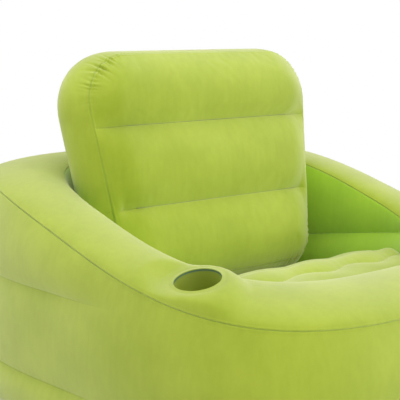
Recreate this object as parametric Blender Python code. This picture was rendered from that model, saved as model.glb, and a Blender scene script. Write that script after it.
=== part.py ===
"""An inflatable armchair, built from the sheets that it is welded from.

A tub with a low front and a high back holds a ribbed seat, and a separate backrest
cushion stands in it on a film hinge. Each sheet is a thin shell of its own. Sheets that
are welded edge to edge share their sample points, so their edges meet facet to facet
with a small gap. X runs to the sitter's left, Y to the back and Z up, and the origin is
on the floor under the middle of the tub.
"""
import math

import bmesh
import bpy
import numpy as np
from mathutils import Matrix, Vector
from mathutils.geometry import delaunay_2d_cdt

# Sheets and fits
SHEET = 0.001
GAP = 0.0003
SLIDE_GAP = 0.0006
MERGE_DISTANCE = 1e-7
SHARP_ANGLE = 35.0

# Plan of the tub
TUB_WIDTH = 1.04
TUB_DEPTH = 1.07
PLAN_POWER = 2.91
WELL_POWER = 2.80
ARM_WIDTH = 0.158
FRONT_RIM_WIDTH = 0.202
BACK_RIM_WIDTH = 0.191
RIM_SEAM_INSET = 0.028
BASE_SEAM_INSET = 0.045
RING_COLUMNS = 48
WELL_FRONT_Y = FRONT_RIM_WIDTH - TUB_DEPTH / 2
WELL_BACK_Y = TUB_DEPTH / 2 - BACK_RIM_WIDTH

# Rise of the rim, from a place just ahead of the tub to one short of its back
RIM_FRONT_HEIGHT = 0.281
RIM_BACK_HEIGHT = 0.494
RISE_START_AHEAD = 0.028
RISE_END_INSET = 0.093
RISE_START_Y = -TUB_DEPTH / 2 - RISE_START_AHEAD
RISE_END_Y = TUB_DEPTH / 2 - RISE_END_INSET
INNER_LIFT_FRONT = 0.004
INNER_LIFT_BACK = 0.018
CROWN_FRONT = 0.033
CROWN_BACK = 0.014
RIM_BANDS = 9

# Outer wall and the two weld lines that run round its back and sides
UPPER_WELD_HEIGHT = 0.302
LOWER_WELD_HEIGHT = 0.119
WELD_INSET = 0.014
WELD_FULL_Y = 0.05
WELD_GONE_Y = -0.19
MERGED_WELD_SHARE = 0.55
WALL_LOBE_ROW_SHARES = ((0.0, 0.36, 0.7), (0.0, 0.33, 0.67), (0.0, 0.33, 0.67, 1.0))
LOBE_BULGES = (0.027, 0.014, 0.018)

# Inner wall and its weld line
INNER_WELD_HEIGHT = 0.317
INNER_WELD_SLOPE_SHARE = 0.15
INNER_BAND_LEAST = 0.010
INNER_WELD_INSET = -0.004
SEAT_EDGE_INSET = 0.010
INNER_UPPER_BULGE_SHARE = 0.10
INNER_LOWER_BULGE_SHARE = 0.15
INNER_UPPER_ROW_SHARES = (0.0, 0.34, 0.67)
INNER_LOWER_ROW_SHARES = (0.0, 0.5, 1.0)

# Seat: a shelf under the backrest, ahead of the well's back, and a run ahead of the shelf
SHELF_DEPTH = 0.289
SHELF_TURN_DEPTH = 0.045
SHELF_WELD_DEPTH = 0.129
SEAT_SLOPE_END_Y = WELL_BACK_Y - SHELF_DEPTH
SHELF_Y = SEAT_SLOPE_END_Y + SHELF_TURN_DEPTH
SHELF_WELD_Y = WELL_BACK_Y - SHELF_WELD_DEPTH
SEAT_RUN = SEAT_SLOPE_END_Y - WELL_FRONT_Y
SEAT_FRONT_SHARE = 0.085
SEAT_CREST_SHARE = 0.433
CHANNEL_SHARES = (0.330, 0.554, 0.778)
SEAT_FRONT_Y = WELL_FRONT_Y + SEAT_FRONT_SHARE * SEAT_RUN
SEAT_CREST_Y = WELL_FRONT_Y + SEAT_CREST_SHARE * SEAT_RUN
CHANNEL_YS = tuple(WELL_FRONT_Y + share * SEAT_RUN for share in CHANNEL_SHARES)
CHANNEL_PITCH = CHANNEL_YS[1] - CHANNEL_YS[0]
CHANNEL_DEPTH = 0.010
SEAT_EDGE_BACK_HEIGHT = 0.218
SEAT_EDGE_FRONT_HEIGHT = 0.274
SEAT_EDGE_TURN_DEPTH = 0.065
SEAT_EDGE_TURN_AHEAD = 0.140
SEAT_EDGE_TURN_BACK_Y = SEAT_SLOPE_END_Y + SEAT_EDGE_TURN_DEPTH
SEAT_EDGE_TURN_FRONT_Y = WELL_FRONT_Y + SEAT_EDGE_TURN_AHEAD
SEAT_EDGE_ROUND = 0.045
SEAT_EDGE_CLEARANCE = 0.0007
SEAT_FRONT_HEIGHT = 0.295
SEAT_CREST_HEIGHT = 0.306
SEAT_SLOPE_END_HEIGHT = 0.240
WAVE_LENGTH = 0.15
WAVE_SWING = 0.009
WAVE_SHIFT = 0.035
SEAT_STEP = 0.0375
SEAT_SLOPE_POWER = 1.2
SEAT_ROW_SHARES = (0.22, 0.5, 0.78)

# Cup holder, in the crest of the right arm: its mouth leans out and a little ahead
CUP_PLAN_ANGLE = 215.3
CUP_ACROSS_ANGLE = 82.8
CUP_TANGENT_ANGLE = 4.0
CUP_LEAN_OUT = 15.5
CUP_LEAN_AHEAD = 4.2
CUP_RADIUS = 0.0437
CUP_FLOOR_RADIUS = 0.036
CUP_DEPTH = 0.074
CUP_WALL = 0.0012
CUP_RING_WIDTH = 0.009
CUP_RING_THICK = 0.0015
CUP_FLAT_RADIUS = 0.067
CUP_BLEND_RADIUS = 0.105
CUP_COLUMN_STEP = 0.030
CUP_SIDES = 40

# Backrest, in its own plane: across, up the lean and rearwards
BACK_LOWER_WIDTH = 0.544
BACK_UPPER_WIDTH = 0.659
BACK_HEIGHT = 0.488
BACK_THICKNESS = 0.108
BACK_LEAN = 10.96
BACK_FOOT_SETBACK = 0.010
BACK_FOOT_Y = SEAT_SLOPE_END_Y + BACK_FOOT_SETBACK
BACK_FOOT_HEIGHT = 0.264
BACK_TOP_ROUND = 0.107
BACK_FOOT_ROUND = 0.060
BACK_WELDS_UP = (0.165, 0.337)
BACK_CROWN = 0.034
BACK_WELD_RISE = 0.015
BACK_EDGE_ROUND = 0.070
BACK_WELD_STOP = 0.045
GUSSET_BULGE = 0.031
GUSSET_TOP_BULGE = 0.013
BACK_STEP = 0.05
BACK_WELD_FADE_SHARE = 0.3
BACK_ROW_SHARES = (0.2, 0.5, 0.8)

# Film hinge under the backrest
HINGE_SETBACK = 0.005
HINGE_Y = SEAT_SLOPE_END_Y + HINGE_SETBACK
HINGE_HALF_WIDTH = 0.20
HINGE_LEAF_DEPTH = 0.032
HINGE_CLEARANCE = 0.0016
HINGE_RISE = 0.0016

# Valves
VALVE_FLANGE_RADIUS = 0.023
VALVE_FLANGE_THICK = 0.0012
VALVE_SINK = 0.0045
VALVE_BORE_RADIUS = 0.0100
VALVE_WALL = 0.0020
VALVE_STANDS_OUT = 0.0045
VALVE_THROAT_DEPTH = 0.013
VALVE_EAR_REACH = 0.0170
VALVE_EAR_WIDTH = 0.0060
VALVE_EAR_THICK = 0.0015
PLUG_DISC_RADIUS = 0.0125
PLUG_DISC_THICK = 0.0020
PLUG_PEG_DEPTH = 0.0050
PLUG_BORE_RADIUS = 0.0045
CAP_DISC_RADIUS = 0.0068
CAP_DISC_THICK = 0.0016
CAP_PEG_DEPTH = 0.0028
CAP_EAR_REACH = 0.0105
FLAP_RADIUS = 0.0062
FLAP_THICK = 0.0008
VALVE_SIDES = 24
TUB_VALVE_HEIGHT = 0.210
BACK_VALVE_UP = 0.085
BACK_VALVE_ACROSS = 0.150
CUT_OVERRUN = 0.010


def clear_scene():
    """Remove the objects that the file opens with."""
    for obj in list(bpy.data.objects):
        bpy.data.objects.remove(obj, do_unlink=True)


def material(name, color, roughness):
    """Return a Principled material of one colour."""
    mat = bpy.data.materials.new(name)
    mat.use_nodes = True
    shader = mat.node_tree.nodes["Principled BSDF"]
    shader.inputs["Base Color"].default_value = (*color, 1.0)
    shader.inputs["Roughness"].default_value = roughness
    shader.inputs["Metallic"].default_value = 0.0
    return mat


def smooth(share):
    """Return the smooth step of a share: 0 below 0, 1 above 1, level at both ends."""
    share = np.clip(share, 0.0, 1.0)
    return share * share * (3.0 - 2.0 * share)


def mix(low, high, share):
    """Return the value that lies at a share of the way from low to high."""
    return low + (high - low) * share


def unit(vectors):
    """Return the vectors at length one."""
    vectors = np.asarray(vectors, dtype=float)
    return vectors / np.linalg.norm(vectors, axis=-1, keepdims=True)


# Thin shells

def add_object(name, verts, faces, finish, is_round=True):
    """Make a mesh object, with its faces turned outwards."""
    mesh = bpy.data.meshes.new(name)
    mesh.from_pydata([tuple(map(float, v)) for v in verts], [], [tuple(map(int, f)) for f in faces])
    bm = bmesh.new()
    bm.from_mesh(mesh)
    bmesh.ops.recalc_face_normals(bm, faces=bm.faces)
    bm.to_mesh(mesh)
    bm.free()
    if is_round:
        mesh.shade_smooth()
        mesh.set_sharp_from_angle(angle=math.radians(SHARP_ANGLE))
    obj = bpy.data.objects.new(name, mesh)
    obj.data.materials.append(finish)
    bpy.context.collection.objects.link(obj)
    return obj


def grid_triangles(rows, columns, closed):
    """Return the triangles of a grid, row by row, that closes on itself if closed is set."""
    last = columns if closed else columns - 1
    triangles = []
    for row in range(rows - 1):
        for column in range(last):
            a = row * columns + column
            b = row * columns + (column + 1) % columns
            c, d = b + columns, a + columns
            triangles += [(a, b, c), (a, c, d)]
    return np.array(triangles)


def vertex_normals(points, triangles):
    """Return the area-weighted normal at each point."""
    corners = points[triangles]
    crossed = np.cross(corners[:, 1] - corners[:, 0], corners[:, 2] - corners[:, 0])
    normals = np.zeros_like(points)
    for corner in range(3):
        np.add.at(normals, triangles[:, corner], crossed)
    return unit(normals)


def boundary_edges(triangles):
    """Return the directed edges that only one triangle uses."""
    edges = np.concatenate([triangles[:, [0, 1]], triangles[:, [1, 2]], triangles[:, [2, 0]]])
    directed = {(int(a), int(b)) for a, b in edges}
    return sorted(edge for edge in directed if (edge[1], edge[0]) not in directed)


def shell(name, points, triangles, finish, edge_offsets=None):
    """Make a closed sheet under a surface.

    The hidden side lies one sheet thickness behind each point, against its normal.
    edge_offsets holds, for chosen points on an edge, the step to the hidden side there,
    which mitres that edge to its neighbour's.
    """
    offsets = -SHEET * vertex_normals(points, triangles)
    for index, offset in (edge_offsets or {}).items():
        offsets[index] = offset
    count = len(points)
    faces = [tuple(t) for t in triangles]
    faces += [(c + count, b + count, a + count) for a, b, c in triangles]
    for a, b in boundary_edges(triangles):
        faces += [(b, a, a + count), (b, a + count, b + count)]
    return add_object(name, np.concatenate([points, points + offsets]), faces, finish)


def ring_shell(name, rows, finish, first_offsets, last_offsets, closed=True):
    """Make a sheet from rows of points, with the hidden steps of its first and last row."""
    grid = np.array(rows)
    count_rows, columns = grid.shape[:2]
    offsets = {i: first_offsets[i] for i in range(columns)}
    offsets.update({(count_rows - 1) * columns + i: last_offsets[i] for i in range(columns)})
    triangles = grid_triangles(count_rows, columns, closed)
    return shell(name, grid.reshape(-1, 3), triangles, finish, offsets)


def strip(name, near, far, step, finish, closed=False):
    """Make a flat sheet between two edges, one thickness deep along step."""
    rows = np.array([near, far])
    columns = len(near)
    triangles = grid_triangles(2, columns, closed)
    points = rows.reshape(-1, 3)
    count = len(points)
    faces = [tuple(t) for t in triangles]
    faces += [(c + count, b + count, a + count) for a, b, c in triangles]
    for a, b in boundary_edges(triangles):
        faces += [(b, a, a + count), (b, a + count, b + count)]
    return add_object(name, np.concatenate([points, points + np.asarray(step)]), faces, finish)


def inside(points, outline):
    """Say which points lie inside a closed outline, by counting crossings."""
    x, y = points[:, 0][:, None], points[:, 1][:, None]
    ax, ay = outline[:, 0], outline[:, 1]
    bx, by = np.roll(ax, -1), np.roll(ay, -1)
    crosses = (ay > y) != (by > y)
    rise = np.where(by == ay, 1.0, by - ay)
    left = x < ax + (bx - ax) * (y - ay) / rise
    return (crosses & left).sum(axis=1) % 2 == 1


def triangulate(outline, inner_rings, lines):
    """Triangulate an outline with rings and open lines inside it.

    Returns the points, with the outline's first, and the triangles, counter-clockwise.
    Line points outside the last inner ring are left out, and a line that leaves the ring
    and comes back isn't joined across the gap.
    """
    points = [outline]
    edges = [(i, (i + 1) % len(outline)) for i in range(len(outline))]
    for ring in inner_rings:
        start = sum(map(len, points))
        points.append(ring)
        edges += [(start + i, start + (i + 1) % len(ring)) for i in range(len(ring))]
    for line in lines:
        kept = np.flatnonzero(inside(line, inner_rings[-1]))
        start = sum(map(len, points))
        points.append(line[kept])
        joined = np.flatnonzero(np.diff(kept) == 1).tolist()
        edges += [(start + i, start + i + 1) for i in joined]
    flat = np.concatenate(points)
    border = [list(range(len(outline)))]
    result = delaunay_2d_cdt([Vector(p) for p in flat], edges, border, 1, MERGE_DISTANCE)
    made, _, triangles, origins = result[0], result[1], result[2], result[3]
    order = np.full(len(made), -1)
    for index, sources in enumerate(origins):
        order[index] = min(sources)
    ranks = np.argsort(order, kind="stable")
    place = np.empty(len(made), dtype=int)
    place[ranks] = np.arange(len(made))
    made = np.array([tuple(p) for p in made])[ranks]
    triangles = place[np.array([tuple(t) for t in triangles])]
    corners = made[triangles]
    one, two = corners[:, 1] - corners[:, 0], corners[:, 2] - corners[:, 0]
    turned = one[:, 0] * two[:, 1] - one[:, 1] * two[:, 0] < 0.0
    triangles[turned] = triangles[turned][:, ::-1]
    return made, triangles


# Plan and heights of the tub

def superellipse(half_x, half_y, power, angles, centre_y=0.0):
    """Return the plan points of a rounded square: |x/a|^n + |y/b|^n = 1, by plan angle."""
    cos, sin = np.cos(angles), np.sin(angles)
    radius = (np.abs(cos / half_x) ** power + np.abs(sin / half_y) ** power) ** (-1.0 / power)
    return np.stack([radius * cos, radius * sin + centre_y], axis=-1)


def outer_plan(angles, inset):
    """Return the outer plan line, drawn in by inset."""
    half_x, half_y = TUB_WIDTH / 2 - inset, TUB_DEPTH / 2 - inset
    return superellipse(half_x, half_y, PLAN_POWER, angles)


def well_plan(angles, inset):
    """Return the plan line of the sitting well, drawn in by inset."""
    half_x = TUB_WIDTH / 2 - ARM_WIDTH - inset
    half_y = (WELL_BACK_Y - WELL_FRONT_Y) / 2 - inset
    centre_y = (WELL_FRONT_Y + WELL_BACK_Y) / 2
    return superellipse(half_x, half_y, WELL_POWER, angles, centre_y)


def rise(y):
    """Return the share of the rim's rise that is reached at a depth y."""
    return smooth((y - RISE_START_Y) / (RISE_END_Y - RISE_START_Y))


def rim_height(y):
    """Return the height of the rim's outer seam at a depth y."""
    return mix(RIM_FRONT_HEIGHT, RIM_BACK_HEIGHT, rise(y))


def inner_rim_height(y):
    """Return the height of the rim's inner seam at a depth y."""
    return rim_height(y) + mix(INNER_LIFT_FRONT, INNER_LIFT_BACK, rise(y))


def seat_edge_height(y):
    """Return the height at which the seat is welded to the inner wall."""
    share = smooth((SEAT_EDGE_TURN_BACK_Y - y) / (SEAT_EDGE_TURN_BACK_Y - SEAT_EDGE_TURN_FRONT_Y))
    return mix(SEAT_EDGE_BACK_HEIGHT, SEAT_EDGE_FRONT_HEIGHT, share)


def ring_angles():
    """Return the plan angles of the tub's columns, with closer ones beside the cup."""
    even = np.linspace(0.0, 360.0, RING_COLUMNS, endpoint=False)
    plan = outer_plan(np.radians([CUP_PLAN_ANGLE]), ARM_WIDTH / 2)[0]
    step = math.degrees(CUP_COLUMN_STEP / float(np.hypot(*plan)))
    close = CUP_PLAN_ANGLE + step * np.array([-2, -1, 0, 1, 2])
    apart = np.abs(even[:, None] - close[None]).min(axis=1) > step
    return np.radians(np.sort(np.concatenate([even[apart], close])))


def raised(plan, heights):
    """Return plan points at their heights."""
    heights = np.broadcast_to(heights, plan.shape[:-1])
    return np.concatenate([plan, heights[..., None]], axis=-1)


def level_steps(plan, inner_plan):
    """Return level steps, one sheet long, from one plan line towards another."""
    steps = raised(unit(inner_plan - plan), 0.0)
    return steps * SHEET


# The rim and the cup's seat in it

def rim_point(angles, across):
    """Return the rim's surface: half an ellipse of turn across between its two seams."""
    outer, inner = outer_plan(angles, RIM_SEAM_INSET), well_plan(angles, 0.0)
    outer = raised(outer, rim_height(outer[..., 1]))
    inner = raised(inner, inner_rim_height(inner[..., 1]))
    crown = mix(CROWN_FRONT, CROWN_BACK, rise(outer[..., 1]))
    lift = raised(np.zeros_like(outer[..., :2]), crown * np.sin(across))
    return (outer + inner) / 2 + (outer - inner) / 2 * np.cos(across) + lift


def cup_frame():
    """Return the cup's centre on the rim and its axes: round the rim, across it and out."""
    angle, across = math.radians(CUP_PLAN_ANGLE), math.radians(CUP_ACROSS_ANGLE)
    nudge = math.radians(CUP_TANGENT_ANGLE)
    ahead = rim_point(np.array([angle + nudge]), across)[0]
    behind = rim_point(np.array([angle - nudge]), across)[0]
    lean_out, lean_ahead = math.radians(CUP_LEAN_OUT), math.radians(CUP_LEAN_AHEAD)
    out = unit([-math.tan(lean_out), -math.tan(lean_ahead), 1.0])
    run = ahead - behind
    along = unit(run - (run @ out) * out)
    centre = rim_point(np.array([angle]), across)[0]
    return centre, along, np.cross(out, along), out


def flattened(points, frame):
    """Bring the points beside the cup onto its plane, and blend the rest in."""
    centre, along, side, out = frame
    away = points - centre
    reach = (np.abs(away @ along) ** 4 + np.abs(away @ side) ** 4) ** 0.25
    hold = 1.0 - smooth((reach - CUP_FLAT_RADIUS) / (CUP_BLEND_RADIUS - CUP_FLAT_RADIUS))
    return points - ((away @ out) * hold)[..., None] * out


def make_rim(angles, frame, finish):
    """Make the top sheet of the arms, back and front rim, with the cup's hole.

    The rows between the seams flatten towards the cup's plane, and the seams stay where
    the walls meet them.
    """
    rows = [rim_point(angles, across) for across in np.linspace(0.0, math.pi, RIM_BANDS + 1)]
    rows[1:-1] = [flattened(row, frame) for row in rows[1:-1]]
    rows[0] = rows[0] + np.array([0.0, 0.0, GAP / 2])
    rows[-1] = rows[-1] + np.array([0.0, 0.0, GAP / 2])
    outer, inner = outer_plan(angles, RIM_SEAM_INSET), well_plan(angles, 0.0)
    rim = ring_shell("rim_panel", rows, finish, level_steps(outer, inner), level_steps(inner, outer))
    cut_round_hole(rim, frame_matrix(frame), CUP_RADIUS + CUP_WALL + GAP, CUP_DEPTH / 2, CUP_SIDES)
    return rim


# The walls, the base and the inner ties

def outer_wall_rows(angles):
    """Return the rows of the outer wall from the floor up to the rim's seam.

    Three lobes swell between the base seam, the two weld lines and the rim's seam. Towards
    the front the weld lines fade and the wall becomes one lobe.
    """
    seam_plan = outer_plan(angles, RIM_SEAM_INSET)
    top = rim_height(seam_plan[:, 1]) - GAP / 2
    held = smooth((seam_plan[:, 1] - WELD_GONE_Y) / (WELD_FULL_Y - WELD_GONE_Y))
    low = np.full_like(top, SHEET + GAP)
    lower = np.full_like(top, LOWER_WELD_HEIGHT)
    merged = mix(lower, top, MERGED_WELD_SHARE)
    upper = mix(merged, np.minimum(UPPER_WELD_HEIGHT, top), held)
    levels = (low, lower, upper, top)
    insets = (BASE_SEAM_INSET, WELD_INSET, WELD_INSET, RIM_SEAM_INSET)
    one_bulge = (BASE_SEAM_INSET + RIM_SEAM_INSET) / 2
    rows = []
    for lobe, shares in enumerate(WALL_LOBE_ROW_SHARES):
        for share in shares:
            height = mix(levels[lobe], levels[lobe + 1], share)
            swell = LOBE_BULGES[lobe] * math.sin(math.pi * share)
            lobed = mix(insets[lobe], insets[lobe + 1], share) - swell
            whole = (height - low) / (top - low)
            single = mix(BASE_SEAM_INSET, RIM_SEAM_INSET, whole) - one_bulge * np.sin(np.pi * whole)
            rows.append(raised(inset_plan(outer_plan, angles, mix(single, lobed, held)), height))
    return rows


def inset_plan(plan, angles, insets):
    """Return a plan line whose inset varies from angle to angle."""
    insets = np.broadcast_to(insets, angles.shape)
    return np.array([plan(np.array([a]), float(i))[0] for a, i in zip(angles, insets)])


def wall_weld_rows(angles, rows):
    """Return the rows of the lower and the upper weld line."""
    lower = len(WALL_LOBE_ROW_SHARES[0])
    upper = lower + len(WALL_LOBE_ROW_SHARES[1])
    return rows[lower], rows[upper]


def inner_wall_levels(angles):
    """Return the heights of the inner wall's seam, weld line and lower edge."""
    plan = well_plan(angles, 0.0)
    top = inner_rim_height(plan[:, 1]) - GAP / 2
    low = seat_edge_height(well_plan(angles, SEAT_EDGE_INSET)[:, 1]) + SEAT_EDGE_CLEARANCE
    weld = INNER_WELD_HEIGHT - INNER_WELD_SLOPE_SHARE * plan[:, 1]
    return top, np.minimum(weld, top - INNER_BAND_LEAST), low


def inner_wall_rows(angles):
    """Return the rows of the inner wall from the rim's inner seam down to the seat.

    Two lobes swell into the well, above and below the weld line.
    """
    top, weld, low = inner_wall_levels(angles)
    rows = []
    for share in INNER_UPPER_ROW_SHARES:
        swell = INNER_UPPER_BULGE_SHARE * (top - weld) * math.sin(math.pi * share)
        plan = inset_plan(well_plan, angles, INNER_WELD_INSET * share + swell)
        rows.append(raised(plan, mix(top, weld, share)))
    for share in INNER_LOWER_ROW_SHARES:
        swell = INNER_LOWER_BULGE_SHARE * (weld - low) * math.sin(math.pi * share)
        plan = inset_plan(well_plan, angles, mix(INNER_WELD_INSET, SEAT_EDGE_INSET, share) + swell)
        rows.append(raised(plan, mix(weld, low, share)))
    return rows


def make_walls(angles, finish, plain):
    """Make the outer wall, the inner wall and the base."""
    outer_rows = outer_wall_rows(angles)
    outer_seam, well_seam = outer_plan(angles, RIM_SEAM_INSET), well_plan(angles, 0.0)
    inwards = level_steps(outer_seam, well_seam)
    outer = ring_shell("outer_wall", outer_rows, finish, inwards, inwards)
    inner_rows = inner_wall_rows(angles)
    ring_shell("inner_wall", inner_rows, finish, -inwards, -inwards)
    base = outer_plan(angles, BASE_SEAM_INSET)
    count = len(angles)
    points = np.concatenate([raised(base, 0.0), np.zeros((1, 3))])
    triangles = np.array([((i + 1) % count, i, count) for i in range(count)])
    shell("base_panel", points, triangles, plain, {i: (0.0, 0.0, SHEET) for i in range(count + 1)})
    return outer, outer_rows, inner_rows


def make_ties(angles, outer_rows, inner_rows, plain):
    """Make the two inner sheets that hold the walls' weld lines in.

    The upper tie joins the weld lines of the two walls, and the lower one joins the outer
    wall's lower weld line to the seat's edge. Both run round the back and sides only.
    """
    lower, upper = wall_weld_rows(angles, outer_rows)
    held = smooth((lower[:, 1] - WELD_GONE_Y) / (WELD_FULL_Y - WELD_GONE_Y)) > 0.5
    order = np.flatnonzero(held)
    start = int(np.argmax(np.diff(np.append(order, order[0] + len(angles)))))
    order = np.roll(order, -start - 1)
    clear = SHEET + 2 * GAP
    inwards = unit(raised(well_plan(angles, 0.0) - outer_plan(angles, RIM_SEAM_INSET), 0.0))
    inner_weld = inner_rows[len(INNER_UPPER_ROW_SHARES)]
    seat_edge = inner_rows[-1]
    down = np.array([0.0, 0.0, -SHEET])
    near, far = (upper + inwards * clear)[order], (inner_weld - inwards * clear)[order]
    strip("wall_tie_upper", near, far, down, plain)
    near, far = (lower + inwards * clear)[order], (seat_edge - inwards * clear)[order]
    strip("wall_tie_lower", near, far, down, plain)


# The seat

def channel_line(number, x):
    """Return the depth y of a seat channel's weld at x: a wave, in turn up and down."""
    swing = WAVE_SWING * np.cos(2.0 * np.pi * (x - WAVE_SHIFT) / WAVE_LENGTH)
    return CHANNEL_YS[number] - swing * (-1.0) ** number


def shelf_height():
    """Return the height of the seat's rear shelf, which the backrest's foot rests on."""
    lean = math.radians(BACK_LEAN)
    drop = GUSSET_BULGE * math.cos(lean) + BACK_THICKNESS / 2 * math.sin(lean)
    return BACK_FOOT_HEIGHT - drop - GAP


def seat_body(y):
    """Return the height of the weld lines: up to the crest, down a slope, then a shelf."""
    up = smooth((y - SEAT_FRONT_Y) / (SEAT_CREST_Y - SEAT_FRONT_Y))
    height = mix(SEAT_FRONT_HEIGHT, SEAT_CREST_HEIGHT, up)
    share = np.clip((y - SEAT_CREST_Y) / (SEAT_SLOPE_END_Y - SEAT_CREST_Y), 0.0, 1.0)
    height = height - (SEAT_CREST_HEIGHT - SEAT_SLOPE_END_HEIGHT) * share ** SEAT_SLOPE_POWER
    share = np.clip((y - SEAT_SLOPE_END_Y) / (SHELF_Y - SEAT_SLOPE_END_Y), 0.0, 1.0)
    return height - (SEAT_SLOPE_END_HEIGHT - shelf_height()) * share


def seat_ribs(x, y):
    """Return how far the seat swells between its channels."""
    first = channel_line(0, x) - CHANNEL_PITCH
    lines = [first] + [channel_line(n, x) for n in range(len(CHANNEL_YS))]
    lines.append(np.full_like(x, SEAT_SLOPE_END_Y))
    swell = np.zeros_like(x)
    for low, high in zip(lines[:-1], lines[1:]):
        share = np.clip((y - low) / (high - low), 0.0, 1.0)
        size = (high - low) / CHANNEL_PITCH
        swell += CHANNEL_DEPTH * size * np.sqrt(np.clip(4.0 * share * (1.0 - share), 0.0, 1.0))
    return swell


def seat_height(points):
    """Return the seat's height: its ribs on its body, rounded down to its edge."""
    x, y = points[:, 0], points[:, 1]
    full = seat_body(y) + seat_ribs(x, y)
    centre_y = (WELL_FRONT_Y + WELL_BACK_Y) / 2
    half_x = TUB_WIDTH / 2 - ARM_WIDTH - SEAT_EDGE_INSET
    half_y = (WELL_BACK_Y - WELL_FRONT_Y) / 2 - SEAT_EDGE_INSET
    ratio = np.abs(x / half_x) ** WELL_POWER + np.abs((y - centre_y) / half_y) ** WELL_POWER
    inward = (1.0 - ratio ** (1.0 / WELL_POWER)) * half_x
    share = np.clip(inward / SEAT_EDGE_ROUND, 0.0, 1.0)
    return mix(seat_edge_height(y), full, 1.0 - (1.0 - share) ** 2)


def seat_lines():
    """Return the plan lines that the seat's mesh follows: channels, crests and the shelf."""
    x = np.arange(-TUB_WIDTH / 2, TUB_WIDTH / 2, SEAT_STEP)
    welds = [channel_line(n, x) for n in range(len(CHANNEL_YS))]
    bounds = [welds[0] - CHANNEL_PITCH] + welds + [np.full_like(x, SEAT_SLOPE_END_Y)]
    lines = [np.stack([x, weld], axis=-1) for weld in bounds[1:]]
    for low, high in zip(bounds[:-1], bounds[1:]):
        for share in SEAT_ROW_SHARES:
            lines.append(np.stack([x, mix(low, high, share)], axis=-1))
    coarse = x[::3]
    for y in (SHELF_Y, SHELF_WELD_Y):
        lines.append(np.stack([coarse, np.full_like(coarse, y)], axis=-1))
    return lines


def make_seat(angles, finish, plain):
    """Make the ribbed seat sheet and the beams that hold its channels to the base."""
    outline = well_plan(angles, SEAT_EDGE_INSET)
    ring = well_plan(angles, SEAT_EDGE_INSET + SEAT_EDGE_ROUND / 4)
    lines = seat_lines()
    plan, triangles = triangulate(outline, [ring], lines)
    points = raised(plan, seat_height(plan))
    points[:len(angles), 2] = seat_edge_height(plan[:len(angles), 1])
    drops = {i: (0.0, 0.0, -SHEET) for i in range(len(angles))}
    shell("seat_panel", points, triangles, finish, drops)
    reach = well_plan(angles, SEAT_EDGE_INSET + SEAT_EDGE_ROUND / 2)
    for number in range(len(CHANNEL_YS)):
        line = lines[number][inside(lines[number], reach)]
        make_beam("seat_beam_" + str(number + 1), line, plain)
    shelf = lines[-1][inside(lines[-1], reach)]
    make_beam("seat_beam_" + str(len(CHANNEL_YS) + 1), shelf, plain)


def make_beam(name, line, plain):
    """Make an upright sheet between the base and a weld line of the seat."""
    half = np.array([0.0, SHEET / 2, 0.0])
    top = raised(line, seat_height(line) - SHEET - 2 * GAP) - half
    foot = raised(line, SHEET + GAP) - half
    return strip(name, foot, top, 2 * half, plain)


# Round parts

def frame_matrix(frame, turned_by=0.0):
    """Return the placing matrix of a frame given as a centre and three axes."""
    centre, x_axis, y_axis, z_axis = frame
    matrix = Matrix.Identity(4)
    for column, axis in enumerate((x_axis, y_axis, z_axis, centre)):
        for row in range(3):
            matrix[row][column] = float(axis[row])
    return matrix @ Matrix.Rotation(turned_by, 4, "Z")


def turned_mesh(profile, sides):
    """Return the points and faces of a closed profile of (radius, height), turned round Z.

    A profile whose first and last radius are zero becomes a solid body, and any other one
    becomes a ring.
    """
    angles = np.linspace(0.0, 2.0 * np.pi, sides, endpoint=False)
    solid = profile[0][0] == 0.0
    body = profile[1:-1] if solid else profile
    verts = [(r * math.cos(a), r * math.sin(a), z) for r, z in body for a in angles]
    faces = []
    bands = len(body) - 1 if solid else len(body)
    for band in range(bands):
        for side in range(sides):
            a, b = band * sides + side, band * sides + (side + 1) % sides
            low = (band + 1) % len(body) * sides
            faces.append((a, b, low + (side + 1) % sides, low + side))
    if solid:
        verts += [(0.0, 0.0, profile[0][1]), (0.0, 0.0, profile[-1][1])]
        last = (len(body) - 1) * sides
        for side in range(sides):
            after = (side + 1) % sides
            faces.append((after, side, len(verts) - 2))
            faces.append((last + side, last + after, len(verts) - 1))
    return verts, faces


def turned(name, profile, matrix, finish, sides):
    """Make a turned piece and place it."""
    verts, faces = turned_mesh(profile, sides)
    obj = add_object(name, verts, faces, finish)
    obj.matrix_world = matrix
    return obj


def box_mesh(low, high):
    """Return the points and faces of a box between two corners."""
    xs, ys, zs = zip(low, high)
    verts = [(x, y, z) for x in xs for y in ys for z in zs]
    faces = [(0, 1, 3, 2), (4, 6, 7, 5), (0, 4, 5, 1), (2, 3, 7, 6), (0, 2, 6, 4), (1, 5, 7, 3)]
    return verts, faces


def helper(name, mesh_data, matrix):
    """Make a guide body that a Boolean uses and that is no part of the chair."""
    mesh = bpy.data.meshes.new(name)
    mesh.from_pydata(mesh_data[0], [], mesh_data[1])
    bm = bmesh.new()
    bm.from_mesh(mesh)
    bmesh.ops.recalc_face_normals(bm, faces=bm.faces)
    bm.to_mesh(mesh)
    bm.free()
    obj = bpy.data.objects.new(name, mesh)
    bpy.context.collection.objects.link(obj)
    obj.matrix_world = matrix
    obj.hide_render = True
    obj.display_type = "WIRE"
    return obj


def boolean(obj, tool, operation):
    """Cut a guide body from an object, or join it on."""
    modifier = obj.modifiers.new(tool.name, "BOOLEAN")
    modifier.operation = operation
    modifier.object = tool
    return modifier


def cut_round_hole(obj, matrix, radius, reach, sides):
    """Cut a round hole through an object, along the matrix's Z axis."""
    profile = [(0.0, reach), (radius, reach), (radius, -reach), (0.0, -reach)]
    tool = helper(obj.name + "_cut", turned_mesh(profile, sides), matrix)
    boolean(obj, tool, "DIFFERENCE")


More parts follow.
